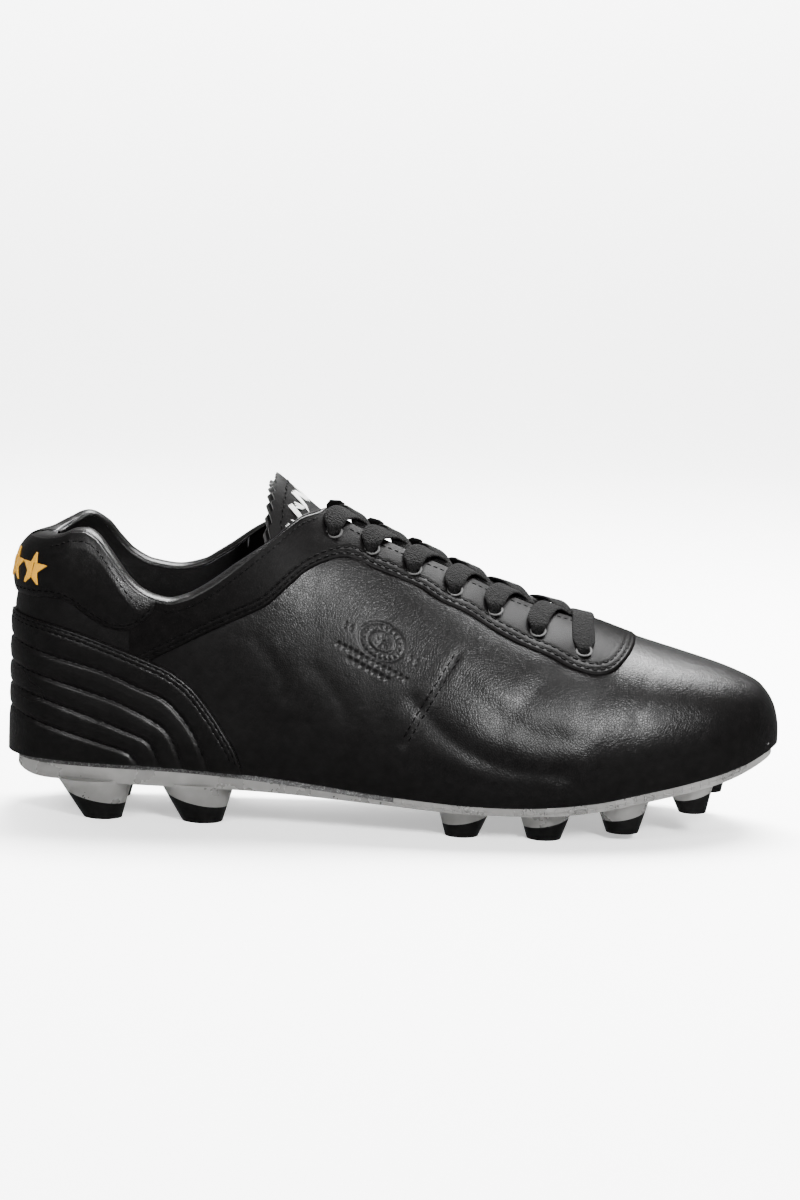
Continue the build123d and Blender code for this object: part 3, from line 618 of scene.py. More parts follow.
def shell_modifier(piece, thick, rim_material=None):
    solid = piece.modifiers.new("thickness", "SOLIDIFY")
    solid.thickness = thick * MM
    solid.offset = -1.0
    solid.use_even_offset = False
    if rim_material is not None:
        piece.data.materials.append(rim_material)
        solid.material_offset_rim = 1


def foot_line(x, _side):
    return np.full(np.shape(x), FOOT_T)


def spaced_x(low, high, step):
    """Stations about step mm apart along the outline."""
    xs = HEEL_X * np.cos(math.pi * np.linspace(0, 1, 6001))
    run = run_along(np.stack([xs, width[-1](xs)], -1))
    a, b = np.interp([low, high], xs, run)
    return np.interp(np.linspace(a, b, int((b - a) / step) + 1), run, xs)


upper_x = np.concatenate(
    [spaced_x(HEEL_X, -25.4, 0.9), np.linspace(-25, 11, 96), spaced_x(11.4, TOE_X, 0.85)]
)
upper_skin = two_walls(
    "upper_leather_skin", upper_x, foot_line, upper_end, 190, upper_depth, UPPER,
    ("upper_leather",),
)

# ---------------------------------------------------------------- overlays
FACING_THICK, COUNTER_THICK = 0.8, 1.25
FACING_ROWS, COUNTER_ROWS, PANEL_ROWS = (1.5, 3.3), (1.5, 3.1), (1.4,)
facing_z = curve([(-104, 61)] + [p for p in FACING_EDGE if p[0] < 88] + [(88.5, 71)])
counter_z = curve(COUNTER_EDGE)
panel_z = curve(sorted(COLLAR_PANEL_EDGE))


def folded(d, thick, over=1.1):
    """Height of a folded panel edge at distance d from the edge."""
    s = np.clip(d / over, 0, 1)
    return thick * np.sqrt(1 - (1 - s) ** 2)


def stitch_dent(d, rows, depth=0.2, half=0.55):
    return sum(depth * bell(d - row, half) for row in rows)


def facing_depth(x, base, side):
    z = base[..., 2]
    d = distance_to_line(SMOOTH_FACING, x, z)
    out = -relief(x, z, side) * 0.8 - folded(d, FACING_THICK)
    out = out + stitch_dent(d, FACING_ROWS, 0.14, 0.42)
    for ex, ez in EYELETS:
        out = out + 0.55 * bell(np.hypot(x - ex, (z - ez) * 1.25), 4.5)
    return out


def facing_low(x, side):
    z = np.where(x > 88.4, 80, facing_z(x))
    return last.t_of_z(x, side, z)


facing_x = np.concatenate([spaced_x(-98, 72, 0.9), spaced_x(72.3, 88.5, 0.45)])
facing = two_walls(
    "eyestay_facing_skin", facing_x, facing_low, upper_end, 120, facing_depth, FACING,
    ("eyestay_facing",), dense=0.7,
)


def counter_depth(x, base, side):
    z = base[..., 2]
    d = distance_to_line(SMOOTH_COUNTER, x, z)
    out = -folded(d, COUNTER_THICK) + stitch_dent(d, COUNTER_ROWS, 0.16, 0.42)
    away = [distance_to_line(groove, x, z) for groove in SMOOTH_GROOVES]
    nearest = np.min([d] + away, axis=0)
    for g in away:
        out = out + 0.75 * bell(g, 0.75)
    out = out - 0.45 * np.clip(nearest / 4.5, 0, 1) ** 0.7
    return out - 0.12 * noise2(x, z, 11, 21 + side)


two_walls(
    "heel_counter_cover_skin", spaced_x(HEEL_X, -54.6, 0.75), foot_line,
    lambda x, side: last.t_of_z(x, side, counter_z(x)), 130, counter_depth, SMOOTH,
    ("heel_counter_cover",),
)


def panel_depth(x, base, side):
    z = base[..., 2]
    d = distance_to_line(SMOOTH_PANEL, x, z)
    to_rim = np.maximum(topline[side](x) - z, 0)
    puff = 2.3 * (1 - np.exp(-d / 4.5)) * np.clip(to_rim / 7.0, 0, 1) ** 0.6
    out = -puff - folded(d, 1.0) + stitch_dent(d, PANEL_ROWS, 0.2, 0.45)
    return out - 0.25 * noise2(x, z, 13, 31 + side) * np.clip(d / 6, 0, 1)


two_walls(
    "heel_collar_panel_skin", spaced_x(HEEL_X, -87.4, 0.7),
    lambda x, side: last.t_of_z(x, side, panel_z(x)), upper_end, 70, panel_depth, SMOOTH,
    ("heel_collar_panel",),
)

# ---------------------------------------------------------------- lining, rim and sockliner
PADDED_LOW = curve([(-160, 71), (-104, 70), (-92, 69), (-80, 70), (-70, 76), (-60, 88)])


def lining_end_depth(x):
    return LINING + (PAD_LINING - LINING) * np.clip((-50 - np.asarray(x, float)) / 14, 0, 1)


def lining_depth(x, base, side):
    z = base[..., 2]
    above = z - PADDED_LOW(x)
    rise = eased(np.clip((above + 5) / 11, 0, 1))
    puff = 0.9 * np.sin(np.pi * np.clip(above / 26, 0, 1))
    full = lining_end_depth(x) - LINING
    return LINING + full * rise + puff * full / 4.2 + 0.15 * noise2(x, z, 14, 41 + side)


lining_skin = two_walls(
    "lining_skin", spaced_x(HEEL_X, TOE_X, 1.6), foot_line,
    lambda x, side: upper_end(x, side, lining_end_depth(x)), 80, lining_depth, INSIDE,
    ("vamp_lining", "lateral_quarter_lining", "medial_quarter_lining", "heel_lining"),
)


RIM_OUTSIDE = -0.95  # depth of the rolled edge's outer foot


def rim_start(side, depth):
    """The station where the rim meets the heel's middle line at this depth."""
    xs = np.linspace(HEEL_X, -120, 600)
    return xs[np.argmax(last.top(xs, side, depth) >= topline[side](xs))]


def make_rim():
    """The rolled edge round the collar and the throat, from the outside over to the lining."""
    along = np.linspace(0, 1, 360) ** 1.6
    outer = RIM_OUTSIDE
    grids = []
    for side in (-1, 1):
        start = rim_start(side, outer)
        inner = lining_end_depth(start + (THROAT_END - start) * along)
        rows = []
        for angle in np.linspace(0, math.pi, 13):
            d = (outer + inner) / 2 - (inner - outer) / 2 * math.cos(angle)
            begin = rim_start(side, float(d[0]))
            x = begin + (THROAT_END - begin) * along
            t = upper_end(x, side, d)
            p = last.point(x, side, t, d)
            out = p - last.point(x, side, np.maximum(t - 0.01, -1), d)
            out[:3] = out[3]
            out = unit(square_to(out, unit(np.gradient(p, axis=0))))
            height = 0.7 + 1.3 * np.clip((-46 - x) / 14, 0, 1)
            rows.append(p + out * (height * math.sin(angle))[:, None])
        grids.append(np.stack(rows, axis=1))
    joined_walls(
        "collar_binding_roll", grids, SMOOTH, 0.05, ("collar_binding",)
    )


make_rim()


def make_sockliner():
    xs = spaced_x(-137, 137, 2.2)
    across = np.linspace(-1, 1, 45)
    lateral, medial = (w - 5.2 * w / np.maximum(w, 27) for w in (width[-1](xs), width[1](xs)))
    half = (lateral + medial) / 2
    middle = (medial - lateral) / 2
    x = np.repeat(xs[:, None], len(across), 1)
    y = middle[:, None] + half[:, None] * across[None, :]
    cup = 2.6 * np.clip((-40 - x) / 60, 0, 1) + 0.8
    z = feather(x) + 5.6 + cup * np.abs(across[None, :]) ** 4 + 0.12 * noise2(x, y, 9, 51)
    top = np.stack([x, y, z], -1)
    piece = to_object(
        "sockliner_pad", top.reshape(-1, 3), grid_faces(len(xs), len(across), turned=True), SOCK,
    )
    shell_modifier(piece, 3.4)
    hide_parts("sockliner")


make_sockliner()

# ---------------------------------------------------------------- tongue
TONGUE_BASE_X, TONGUE_ROWS, TONGUE_HALF, TONGUE_COLUMNS = 80.0, 150, 25.5, 211
PINK_PERIOD, PINK_DEPTH = 2.3, 1.2


def tongue_grid(depth, top_shift, half_width, columns, pinked):
    """A layer of the tongue: rows from its tip to its sewn base, columns across it."""
    across = np.linspace(-1, 1, columns)
    y = 0.6 + half_width * across
    tip = -47.3 - top_shift - 3.2 * np.abs(across) ** 1.6
    if pinked:
        saw = np.abs(((y / PINK_PERIOD) % 1.0) - 0.5) * 2
        tip = tip + PINK_DEPTH * saw
    s = np.linspace(0, 1, TONGUE_ROWS) ** 1.25
    x = tip[None, :] + (TONGUE_BASE_X - tip[None, :]) * s[:, None]
    yy = np.repeat(y[None, :], TONGUE_ROWS, 0)
    shift = ridge_shift(x)
    out = np.empty(x.shape + (3,))
    for side in (-1, 1):
        _, _, _, _, reach, _ = tongue_last.frame(x, side, TONGUE_SIDE_GAP + depth)
        limit = shift + side * reach * 0.995
        y_in = np.where(side * (yy - limit) > 0, limit, yy)
        t = tongue_last.t_of_y(x, side, y_in, TONGUE_SIDE_GAP + depth)
        soft = 0.25 * noise2(x, yy, 12, 61)
        p = tongue_last.point(x, side, t, TONGUE_SIDE_GAP + depth + soft)
        mine = (yy < shift) if side < 0 else (yy >= shift)
        out[mine] = p[mine]
    return out


def make_tongue():
    face = (TONGUE_HALF, TONGUE_COLUMNS, True)
    layers = (
        ("tongue_leather_face", (0.0, 0.0, *face), TONGUE_SKIN, 1.2, "tongue_leather",
         "tongue_leather_black"),
        ("tongue_foam_pad", (1.3, -4.0, 24.0, 121, False), SOCK, 2.6, "tongue_foam", "foam_grey"),
        ("tongue_lining_face", (4.0, 2.2, *face), INSIDE, 1.1, "tongue_lining", "lining_leather"),
    )
    for name, shape, material, thick, node, slot in layers:
        grid = tongue_grid(*shape)
        faces = grid_faces(grid.shape[0], grid.shape[1], turned=True)
        pinked = shape[-1]
        piece = to_object(name, grid.reshape(-1, 3), faces, material, TONGUE)
        shell_modifier(piece, thick, EDGE if pinked else None)
        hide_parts(node)


make_tongue()

# ---------------------------------------------------------------- lace
LACE_WIDTH, LACE_THICK = 8.4, 1.15
LACE_LIFT, LACE_DEPTH, LAST_LACE_DEPTH = 1.9, 5.1, 3.6
LACE_CROSSING = (0.3, 2.5)
LACE_APPROACH = (6.5, 6.0)
LACE_UNDER_RISE = 1.5
TAIL_FROM_LATERAL = [
    (-26.5, -17.9, 97), (-27, -23.9, 84), (-25, -27.6, 71), (-20, -30.8, 57), (-12, -32.5, 44),
    (-1, -32, 32.5), (12, -31.5, 25.4), (25, -31.5, 22.6), (38, -31.5, 21.9), (50, -32, 22.3),
]
TAIL_FROM_MEDIAL = [
    (-26.5, 15.6, 96), (-26.5, 19, 83), (-24, 21.6, 70), (-19, 23.4, 56), (-11, 24.2, 43),
    (0, 24.5, 32), (13, 24.4, 25.2), (26, 25.2, 22.6), (38, 26.5, 21.9), (50, 28, 22.3),
]
LACE_STEP = 0.8
SLOPE_X = np.linspace(HEEL_X, TOE_X, 1145)
HOLE_RADIUS = 2.3


def surface_y(x, z, side):
    t = last.t_of_z(x, side, z)
    return float(last.point(x, side, t)[1])


def eyelet_place(index, side):
    """Centre of an eyelet on the leather and the outward direction there."""
    x, z = EYELETS[index]
    z = z if side < 0 else z + 1.0
    rise = 1.5
    slope = (surface_y(x, z + rise, side) - surface_y(x, z - rise, side)) / (2 * rise)
    normal = Vector((0, side, -side * slope)).normalized()
    return Vector((x, surface_y(x, z, side), z)), normal


def ridge_side(x, y, lift):
    """A point over the upper near its ridge, lift above the outside of the leather."""
    side = -1 if y < float(ridge_shift(x)) else 1
    t = last.t_of_y(x, side, y)
    return Vector((x, y, float(last.point(x, side, t)[2]) + lift))


def through_eyelet(index, side):
    """Route of the lace from above a flap, in through its eyelet and back under the flap."""
    centre, normal = eyelet_place(index, side)
    inward = Vector((0, -side * abs(normal.z), abs(normal.y)))
    outside = centre + normal * LACE_LIFT
    inside = centre - normal * (LAST_LACE_DEPTH if index == len(EYELETS) - 1 else LACE_DEPTH)
    above, under = LACE_APPROACH
    return [
        outside + inward * above,
        outside,
        inside,
        inside + inward * under + normal * LACE_UNDER_RISE,
    ]


def crossing(index, side, upper):
    """Route from under the flap at one eyelet to above the other flap at the next one."""
    here, there = EYELETS[index][0], EYELETS[index + 1][0]
    step = there - here
    shift = float(ridge_shift(here))
    lift = LACE_CROSSING[1 if upper else 0]
    return [
        ridge_side(here + 0.22 * step, shift + side * 3.6, -3.6 + 0.3 * lift),
        ridge_side(here + 0.5 * step, shift - side * 1.2, lift),
        ridge_side(here + 0.76 * step, shift - side * 7.6, LACE_LIFT + 0.5),
    ]


def lace_half(side, tail):
    """Route of one half of the lace, from the straight bar to its end."""
    route = []
    for index in range(len(EYELETS)):
        route += through_eyelet(index, side)[0 if index else 1 :]
        if index < len(EYELETS) - 1:
            route += crossing(index, side, upper=side < 0)
            side = -side
    return route[:-1] + [Vector(p) for p in tail]


def lace_points():
    bar_x = EYELETS[0][0]
    bar = [
        ridge_side(bar_x, -7.5, LACE_LIFT + 0.3),
        ridge_side(bar_x + 0.6, 0.0, LACE_LIFT),
        ridge_side(bar_x, 11.5, LACE_LIFT + 0.3),
    ]
    return lace_half(-1, TAIL_FROM_LATERAL)[::-1] + bar + lace_half(1, TAIL_FROM_MEDIAL)


def spline_points(points, step):
    """Points about step mm apart along the smooth curve with these control points."""
    data = bpy.data.curves.new("lace_line", "CURVE")
    data.dimensions = "3D"
    spline = data.splines.new("NURBS")
    spline.points.add(len(points) - 1)
    for point, place in zip(spline.points, points):
        point.co = (*place, 1)
    spline.order_u = 3
    spline.use_endpoint_u = True
    data.resolution_u = 12
    holder = bpy.data.objects.new("lace_line", data)
    mesh = bpy.data.meshes.new_from_object(holder)
    line = np.array([v.co for v in mesh.vertices])
    bpy.data.objects.remove(holder)
    run = run_along(line)
    return look_up(np.linspace(0, run[-1], int(run[-1] / step)), run, line), run[-1]


def smooth_rows(values, passes):
    for _ in range(passes):
        padded = np.vstack([values[:1], values, values[-1:]])
        values = (padded[:-2] + 2 * padded[1:-1] + padded[2:]) / 4
    return values


def lace_out(p):
    """Outward directions of the lace's flat side along its line."""
    x = p[:, 0]
    shift = ridge_shift(x)
    side = np.where(p[:, 1] < shift, -1, 1)
    slope = np.gradient(ridge(SLOPE_X), SLOPE_X)
    out = np.zeros_like(p)
    for s in (-1, 1):
        _, top, wide, _, reach, n = last.frame(x, s, 0.0)
        u = np.clip(np.abs(p[:, 1] - shift) / reach, 0, 1)
        v = np.clip((p[:, 2] - wide) / (top - wide), 0.05, 1.2)
        across = s * u ** (n - 1) / reach
        up = v ** (n - 1) / (top - wide)
        g = unit(np.stack([-np.interp(x, SLOPE_X, slope) * up * 0.6, across, up], 1))
        out[side == s] = g[side == s]
    lying = np.clip((46 - p[:, 2]) / 12, 0, 1)[:, None]
    return out * (1 - lying) + np.array([0.0, 0.25, 1.0]) * lying


def ribbon(name, p, out, wide, thick, material):
    """A flat woven ribbon along p, its flat side facing out."""
    tangent = unit(np.gradient(p, axis=0))
    out = unit(square_to(smooth_rows(square_to(out, tangent), 8), tangent))
    across = np.cross(tangent, out)
    section = [
        (-1.0, 0.0), (-0.94, 0.62), (-0.78, 0.95), (-0.45, 1.0), (0.0, 0.9), (0.45, 1.0),
        (0.78, 0.95), (0.94, 0.62), (1.0, 0.0), (0.94, -0.62), (0.78, -0.95), (0.45, -1.0),
        (0.0, -0.9), (-0.45, -1.0), (-0.78, -0.95), (-0.94, -0.62),
    ]
    ring = len(section)
    verts = np.empty((len(p), ring, 3))
    for j, (a, b) in enumerate(section):
        verts[:, j] = p + across * (a * wide / 2)[:, None] + out * (b * thick / 2)[:, None]
    faces = [(a, d, c, b) for a, b, c, d in ring_faces(len(p), ring)]
    faces.append(tuple(range(ring))[::-1])
    faces.append(tuple((len(p) - 1) * ring + j for j in range(ring)))
    return to_object(name, verts.reshape(-1, 3), faces, material)


HOLES = [eyelet_place(index, side) for index in range(len(EYELETS)) for side in (-1, 1)]


def cut_eyelets(*pieces):
    """Open the punched holes in the leather skins."""
    for piece in pieces:
        work = bmesh.new()
        work.from_mesh(piece.data)
        for centre, normal in HOLES:
            gone = []
            for vert in work.verts:
                away = vert.co / MM - centre
                off_axis = (away - normal * away.dot(normal)).length
                if away.length < 9 and off_axis < HOLE_RADIUS:
                    gone.append(vert)
            bmesh.ops.delete(work, geom=gone, context="VERTS")
        work.to_mesh(piece.data)
        work.free()


def make_eyelet_rims():
    """Burnished edges of the punched holes, from the facing's surface down to the lining."""
    profile = [(3.1, 0.75), (2.75, 1.0), (2.4, 0.85), (2.2, 0.4), (2.15, -1.5), (2.15, -4.6)]
    turns = 2 * math.pi * np.arange(28) / 28
    verts, faces = [], []
    for centre, normal in HOLES:
        along = Vector((1, 0, 0))
        along = (along - normal * along.dot(normal)).normalized()
        across = normal.cross(along)
        faces += ring_faces(len(profile), len(turns), len(verts))
        for radius, height in profile:
            for turn in turns:
                round_rim = along * math.cos(turn) + across * math.sin(turn)
                verts.append(centre + normal * height + round_rim * radius)
    to_object("eyelet_rims", np.array(verts), faces, EDGE)


cut_eyelets(upper_skin, facing, lining_skin)
make_eyelet_rims()


def make_lace():
    p, length = spline_points(lace_points(), LACE_STEP)
    away = [np.linalg.norm(p - np.array(centre), axis=1) for centre, _ in HOLES]
    gathered = bell(np.min(away, axis=0), 3.0)
    wide = LACE_WIDTH * (1 - 0.42 * gathered)
    count = np.arange(len(p))
    ends = np.minimum(count, count[::-1]) * LACE_STEP
    wide = wide * np.clip(0.36 + ends / 14, 0, 1)
    thick = LACE_THICK * (1 + 0.9 * gathered) * (1 + 0.8 * np.clip(1 - ends / 10, 0, 1))
    wide = wide * (1 + 0.04 * noise2(count * LACE_STEP, np.zeros(len(p)), 7, 71))
    lace = ribbon("lace_ribbon", p, lace_out(p), wide, thick, LACE)
    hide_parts("lace")


def woven_lace(name):
    """Tubular flat-woven polyester lace: fine ribs with a fuzzy, dull black yarn."""
    material, tree, shader = new_material(
        name, grey(0.002), 0.8, Sheen_Weight=0.01, Specular_IOR_Level=0.05
    )
    vector = coordinates(tree)
    ribs = cells(tree, vector, 1500, "F1")
    yarn = noise(tree, vector, 900, 4.0, 0.7)
    varied_colour(tree, shader, yarn, (0.38, grey(0.0004)), (0.70, (0.0052, 0.005, 0.005)))
    bump(tree, shader, [(ribs, 0.6, 1.0), (yarn, 0.5, 0.9)])
    return material


LACE = woven_lace("woven_lace")
make_lace()

# ---------------------------------------------------------------- stitching
STITCH, STITCH_GAP, THREAD_RADIUS, FINE_RADIUS = 2.3, 0.75, 0.27, 0.22


def capsule(a, b, out, radius, rise, sink=0.28, ring=6):
    """One stitch from a to b: a thread that dips into the leather at both ends."""
    shares = (0.0, 0.12, 0.5, 0.88, 1.0)
    sizes = (0.45, 0.95, 1.0, 0.95, 0.45)
    heights = (-sink, 0.02, rise, 0.02, -sink)
    along = b - a
    across = unit(np.cross(along, out))
    verts = []
    for share, size, height in zip(shares, sizes, heights):
        centre = a + along * share + out * height
        for k in range(ring):
            turn = 2 * math.pi * k / ring
            verts.append(
                centre + across * (radius * size * math.cos(turn))
                + out * (radius * size * math.sin(turn))
            )
    faces = ring_faces(len(shares), ring)
    faces.append(tuple(range(ring)))
    faces.append(tuple((len(shares) - 1) * ring + j for j in range(ring))[::-1])
    return verts, faces


def threads(name, stitches, material, body=ROOT):
    """One piece from many stitches (a, b, out, radius, rise)."""
    verts, faces = [], []
    for a, b, out, radius, rise in stitches:
        v, f = capsule(a, b, out, radius, rise)
        faces += [tuple(i + len(verts) for i in face) for face in f]
        verts += v
    return to_object(name, verts, faces, material, body)


def row_of_stitches(line, outs, length=STITCH, gap=STITCH_GAP, radius=THREAD_RADIUS, rise=0.1):
    """Stitches along a line of surface points."""
    run = run_along(line)
    found = []
    place = gap
    while place + length < run[-1]:
        start, end = look_up([place, place + length], run, line)
        found.append((start, end, unit(look_up(place + length / 2, run, outs)), radius, rise))
        place += length + gap
    return found


def shifted_line(points, shift):
    """A side-view line moved sideways by shift mm, to its left when positive."""
    d = unit(np.gradient(points, axis=0))
    return points + shift * np.stack([-d[:, 1], d[:, 0]], 1)


def rim_height(x, side):
    """Height of the topline, or no limit ahead of the ankle opening."""
    return np.where(x < -40, topline[side](x), 999)


def skin_line(x, side, t, depth):
    """Points on a skin at height shares t, and their outward directions."""
    d = depth(x, last.point(x, side, t), side)
    line = last.point(x, side, t, d)
    return line, last.point(x, side, t, d - 1.0) - line


def on_wall(points, side, depth, limit=None):
    """Surface points and outward directions under a side-view line."""
    x, z = points[:, 0], points[:, 1]
    keep = np.ones(len(x), bool) if limit is None else limit(x, z)
    keep &= (x > HEEL_X + 0.1) & (x < TOE_X - 0.1)
    keep &= (z < np.minimum(last.top(x, side) - 0.3, rim_height(x, side) - 1.5)) & (z > feather(x) + 0.4)
    x, z = x[keep], z[keep]
    return skin_line(x, side, last.t_of_z(x, side, z), depth)


def seam(points, side, depth, shifts, limit=None, **options):
    found = []
    for shift in shifts:
        line, outs = on_wall(shifted_line(points, shift), side, depth, limit)
        if len(line) > 3:
            found += row_of_stitches(line, outs, **options)
    return found


def below_rim(side, low, high, drop, depth):
    """A line on a skin, drop mm below the topline or the throat's edge."""
    xs = np.arange(low, high, 1.0)
    top = upper_end(xs, side)
    rise = 0.02
    edge = last.point(xs, side, top)
    lower = last.point(xs, side, top - rise)
    slope = np.linalg.norm(edge - lower, axis=1) / rise
    return skin_line(xs, side, top - drop / np.maximum(slope, 1e-6), depth)


def make_seams():
    black, fine = [], []
    within_counter = lambda x, z: z < counter_z(x) - 0.8
    for side in (-1, 1):
        black += seam(SMOOTH_FACING, side, facing_depth, (1.5, 3.3))
        black += seam(SMOOTH_COUNTER, side, counter_depth, (-1.5, -3.1))
        for groove in SMOOTH_GROOVES:
            black += seam(groove, side, counter_depth, (0.0,), within_counter, gap=0.9)
        black += seam(SMOOTH_PANEL, side, panel_depth, (-1.4,))
        black += seam(SMOOTH_SEAM, side, upper_depth, (-1.1, 1.1))
        for low, high, drop, depth in (
            (-86.5, -30.5, 3.2, facing_depth),
            (-20, 70, 3.2, facing_depth),
            (-128, -88.5, 4.2, panel_depth),
        ):
            line, outs = below_rim(side, low, high, drop, depth)
            fine += row_of_stitches(line, outs, 1.9, 0.7, FINE_RADIUS)
        line, outs = below_rim(side, -126, -40, 8.5, lining_depth)
        fine += row_of_stitches(line, -outs, 2.2, 0.8, FINE_RADIUS)
    threads("seam_stitching", black, THREAD)
    threads("edge_stitching", fine, THREAD)


make_seams()


# The border: middle of the rows below the tongue's tip, first bar, spacing, lean and heights
BORDER_RUN, BORDER_START, BORDER_PITCH, BORDER_LEAN = 11.5, -15.5, 2.5, 0.75
BORDER_HEIGHTS = (9.0, 6.0, 9.0, 4.5)


def make_tongue_stitching():
    grid = tongue_grid(-0.05, 0.0, TONGUE_HALF, TONGUE_COLUMNS, True)
    rows, columns, _ = grid.shape
    depth_rows = run_along(grid[:, columns // 2])
    first = int(np.searchsorted(depth_rows, 4.2))
    inner = 10
    down = [(i, inner) for i in range(rows - 8, first, -1)]
    over = [(first, j) for j in range(inner, columns - inner)]
    up = [(i, columns - 1 - inner) for i in range(first, rows - 8)]
    cells_of = down + over + up
    line = np.array([grid[i, j] for i, j in cells_of])
    outs = []
    for i, j in cells_of:
        a = grid[min(i + 1, rows - 1), j] - grid[max(i - 1, 0), j]
        b = grid[i, min(j + 1, columns - 1)] - grid[i, max(j - 1, 0)]
        outs.append(np.cross(b, a))
    outs = np.array(outs)
    if outs[:, 2].mean() < 0:
        outs = -outs
    found = row_of_stitches(line, outs, 1.8, 0.7, FINE_RADIUS)
    threads("tongue_stitching", found, THREAD, TONGUE)
    threads("tongue_embroidery", zigzag_bars(grid, depth_rows), WHITE, TONGUE)


def zigzag_bars(grid, depth_rows):
    """A plain satin-stitched zigzag border under the tongue's top edge."""
    bars = []
    for number in range(13):
        height = BORDER_HEIGHTS[number % len(BORDER_HEIGHTS)]
        lean = BORDER_LEAN if number % 2 else -BORDER_LEAN
        for k in range(4):
            y = BORDER_START + number * BORDER_PITCH + (k - 1.5) * 0.4
            a, out = tongue_place(grid, depth_rows, BORDER_RUN - height / 2, y - lean)
            b, _ = tongue_place(grid, depth_rows, BORDER_RUN + height / 2, y + lean)
            bars.append((a, b, out, 0.24, 0.25))
    return bars


def ordered(row):
    """A row of points from the lateral to the medial edge."""
    return row[np.argsort(row[:, 1])]


def tongue_place(grid, depth_rows, run, y):
    """Point and outward direction on the tongue, run mm down from its tip and at y."""
    i = int(np.clip(np.searchsorted(depth_rows, run), 1, len(depth_rows) - 2))
    share = (run - depth_rows[i - 1]) / (depth_rows[i] - depth_rows[i - 1])
    row = grid[i - 1] * (1 - share) + grid[i] * share
    row, below = ordered(row), ordered(grid[i + 1])
    p, q = look_up([y, y + 0.5], row[:, 1], row)
    out = unit(np.cross(q - p, look_up(y, below[:, 1], below) - p))
    return p, out if out[2] > 0 else -out


make_tongue_stitching()

# ---------------------------------------------------------------- embroidered stars
STAR_HEIGHT, STAR_ARCS = 89.0, (5.9, 17.6)
STAR_OUTER, STAR_INNER, STAR_PITCH = 6.5, 2.7, 0.33


def heel_arc(side, z):
    """Stations on the heel wall at height z against their distance from the middle line."""
    xs = np.linspace(HEEL_X + 0.1, -100, 900)
    keep = last.top(xs, side) > z + 0.5
    p = last.point(xs, side, last.t_of_z(xs, side, z))[keep]
    return abs(p[0][1]) + run_along(p), xs[keep]


def star_skin(x, base, side):
    return panel_depth(x, base, side) - 0.12


def star_point(side, arc, z):
    """Point and outward direction arc mm round the heel from its middle line."""
    x = np.array([np.interp(arc, *heel_arc(side, z))])
    line, outs = skin_line(x, side, last.t_of_z(x, side, np.array([z])), star_skin)
    return line[0], outs[0]


def make_stars():
    stitches = []
    for side in (-1, 1):
        for arc in STAR_ARCS:
            for k in range(-19, 20):
                v = k * STAR_PITCH
                for low, high in star_rows(v):
                    places = (arc + low, arc + (low + high) / 2, arc + high)
                    (start, _), (middle, out), (end, _) = (
                        star_point(side, place, STAR_HEIGHT + v) for place in places
                    )
                    for pair in ((start, middle), (middle, end)):
                        stitches.append((*pair, out, FINE_RADIUS, 0.1))
    threads("heel_stars", stitches, GOLD)


def star_rows(v):
    """Spans of a five-pointed star at height v from its centre."""
    corners = []
    for k in range(10):
        reach = STAR_OUTER if k % 2 == 0 else STAR_INNER
        angle = math.pi / 2 + k * math.pi / 5
        corners.append((reach * math.cos(angle), reach * math.sin(angle)))
    cuts = []
    for (x0, y0), (x1, y1) in zip(corners, corners[1:] + corners[:1]):
        if (y0 <= v) != (y1 <= v):
            cuts.append(x0 + (v - y0) / (y1 - y0) * (x1 - x0))
    cuts.sort()
    return [(a, b) for a, b in zip(cuts[::2], cuts[1::2]) if b - a > 0.5]


make_stars()

# ---------------------------------------------------------------- sole
def clear_plastic(name):
    """Milky clear moulded plastic, a little cloudy and scuffed."""
    material, tree, shader = new_material(
        name, (0.74, 0.74, 0.72), 0.3, Transmission_Weight=0.35, IOR=1.45
    )
    vector = coordinates(tree)
    cloud = noise(tree, vector, 60, 4.0, 0.6)
    specks = noise(tree, vector, 900, 3.0, 0.7)
    varied_colour(
        tree, shader, cloud, (0.3, (0.085, 0.084, 0.081)), (0.75, (0.15, 0.148, 0.143))
    )
    varied_roughness(tree, shader, cloud, 0.25, 0.16)
    bump(tree, shader, [(cloud, 0.4, 0.15), (specks, 0.015, 0.2)])
    return material


def speckled(name):
    """Rough moulded strip, dark grey with pale speckles."""
    material, tree, shader = new_material(name, (0.1, 0.1, 0.1), 0.7)
    grit = noise(tree, coordinates(tree), 1500, 5.0, 0.8)
    varied_colour(
        tree, shader, grit, (0.42, grey(0.004)), (0.56, grey(0.03)), (0.70, grey(0.17))
    )
    bump(tree, shader, [(grit, 0.25, 0.8)])
    return material


CLEAR = clear_plastic("clear_sole_plastic")
RAND = speckled("rand_grit")
TIP = moulded(
    "stud_tip_rubber", (0.0015, 0.0015, 0.0015), (0.004, 0.004, 0.0039), 0.45, Specular_IOR_Level=0.1
)
PIN = moulded("pin_plastic", (0.62, 0.60, 0.56), (0.78, 0.76, 0.72), 0.4)
STEEL = moulded("shank_steel", (0.42, 0.42, 0.43), (0.55, 0.55, 0.56), 0.35, Metallic=1.0)
BOARD = fabric("insole_board_fibre", (0.16, 0.12, 0.08), 1200, 0.9, 0.1)
FOAM = fabric("collar_foam", (0.10, 0.10, 0.105), 1400, 0.95, 0.2)
BACKING_CLOTH = fabric("backing_cloth", (0.05, 0.05, 0.052), 1100, 0.9, 0.2)
STIFF = moulded("stiffener_board", (0.09, 0.085, 0.08), (0.13, 0.125, 0.12), 0.7)
AGLET_FILM = moulded("aglet_film", (0.012, 0.012, 0.012), (0.03, 0.03, 0.03), 0.22, 500)
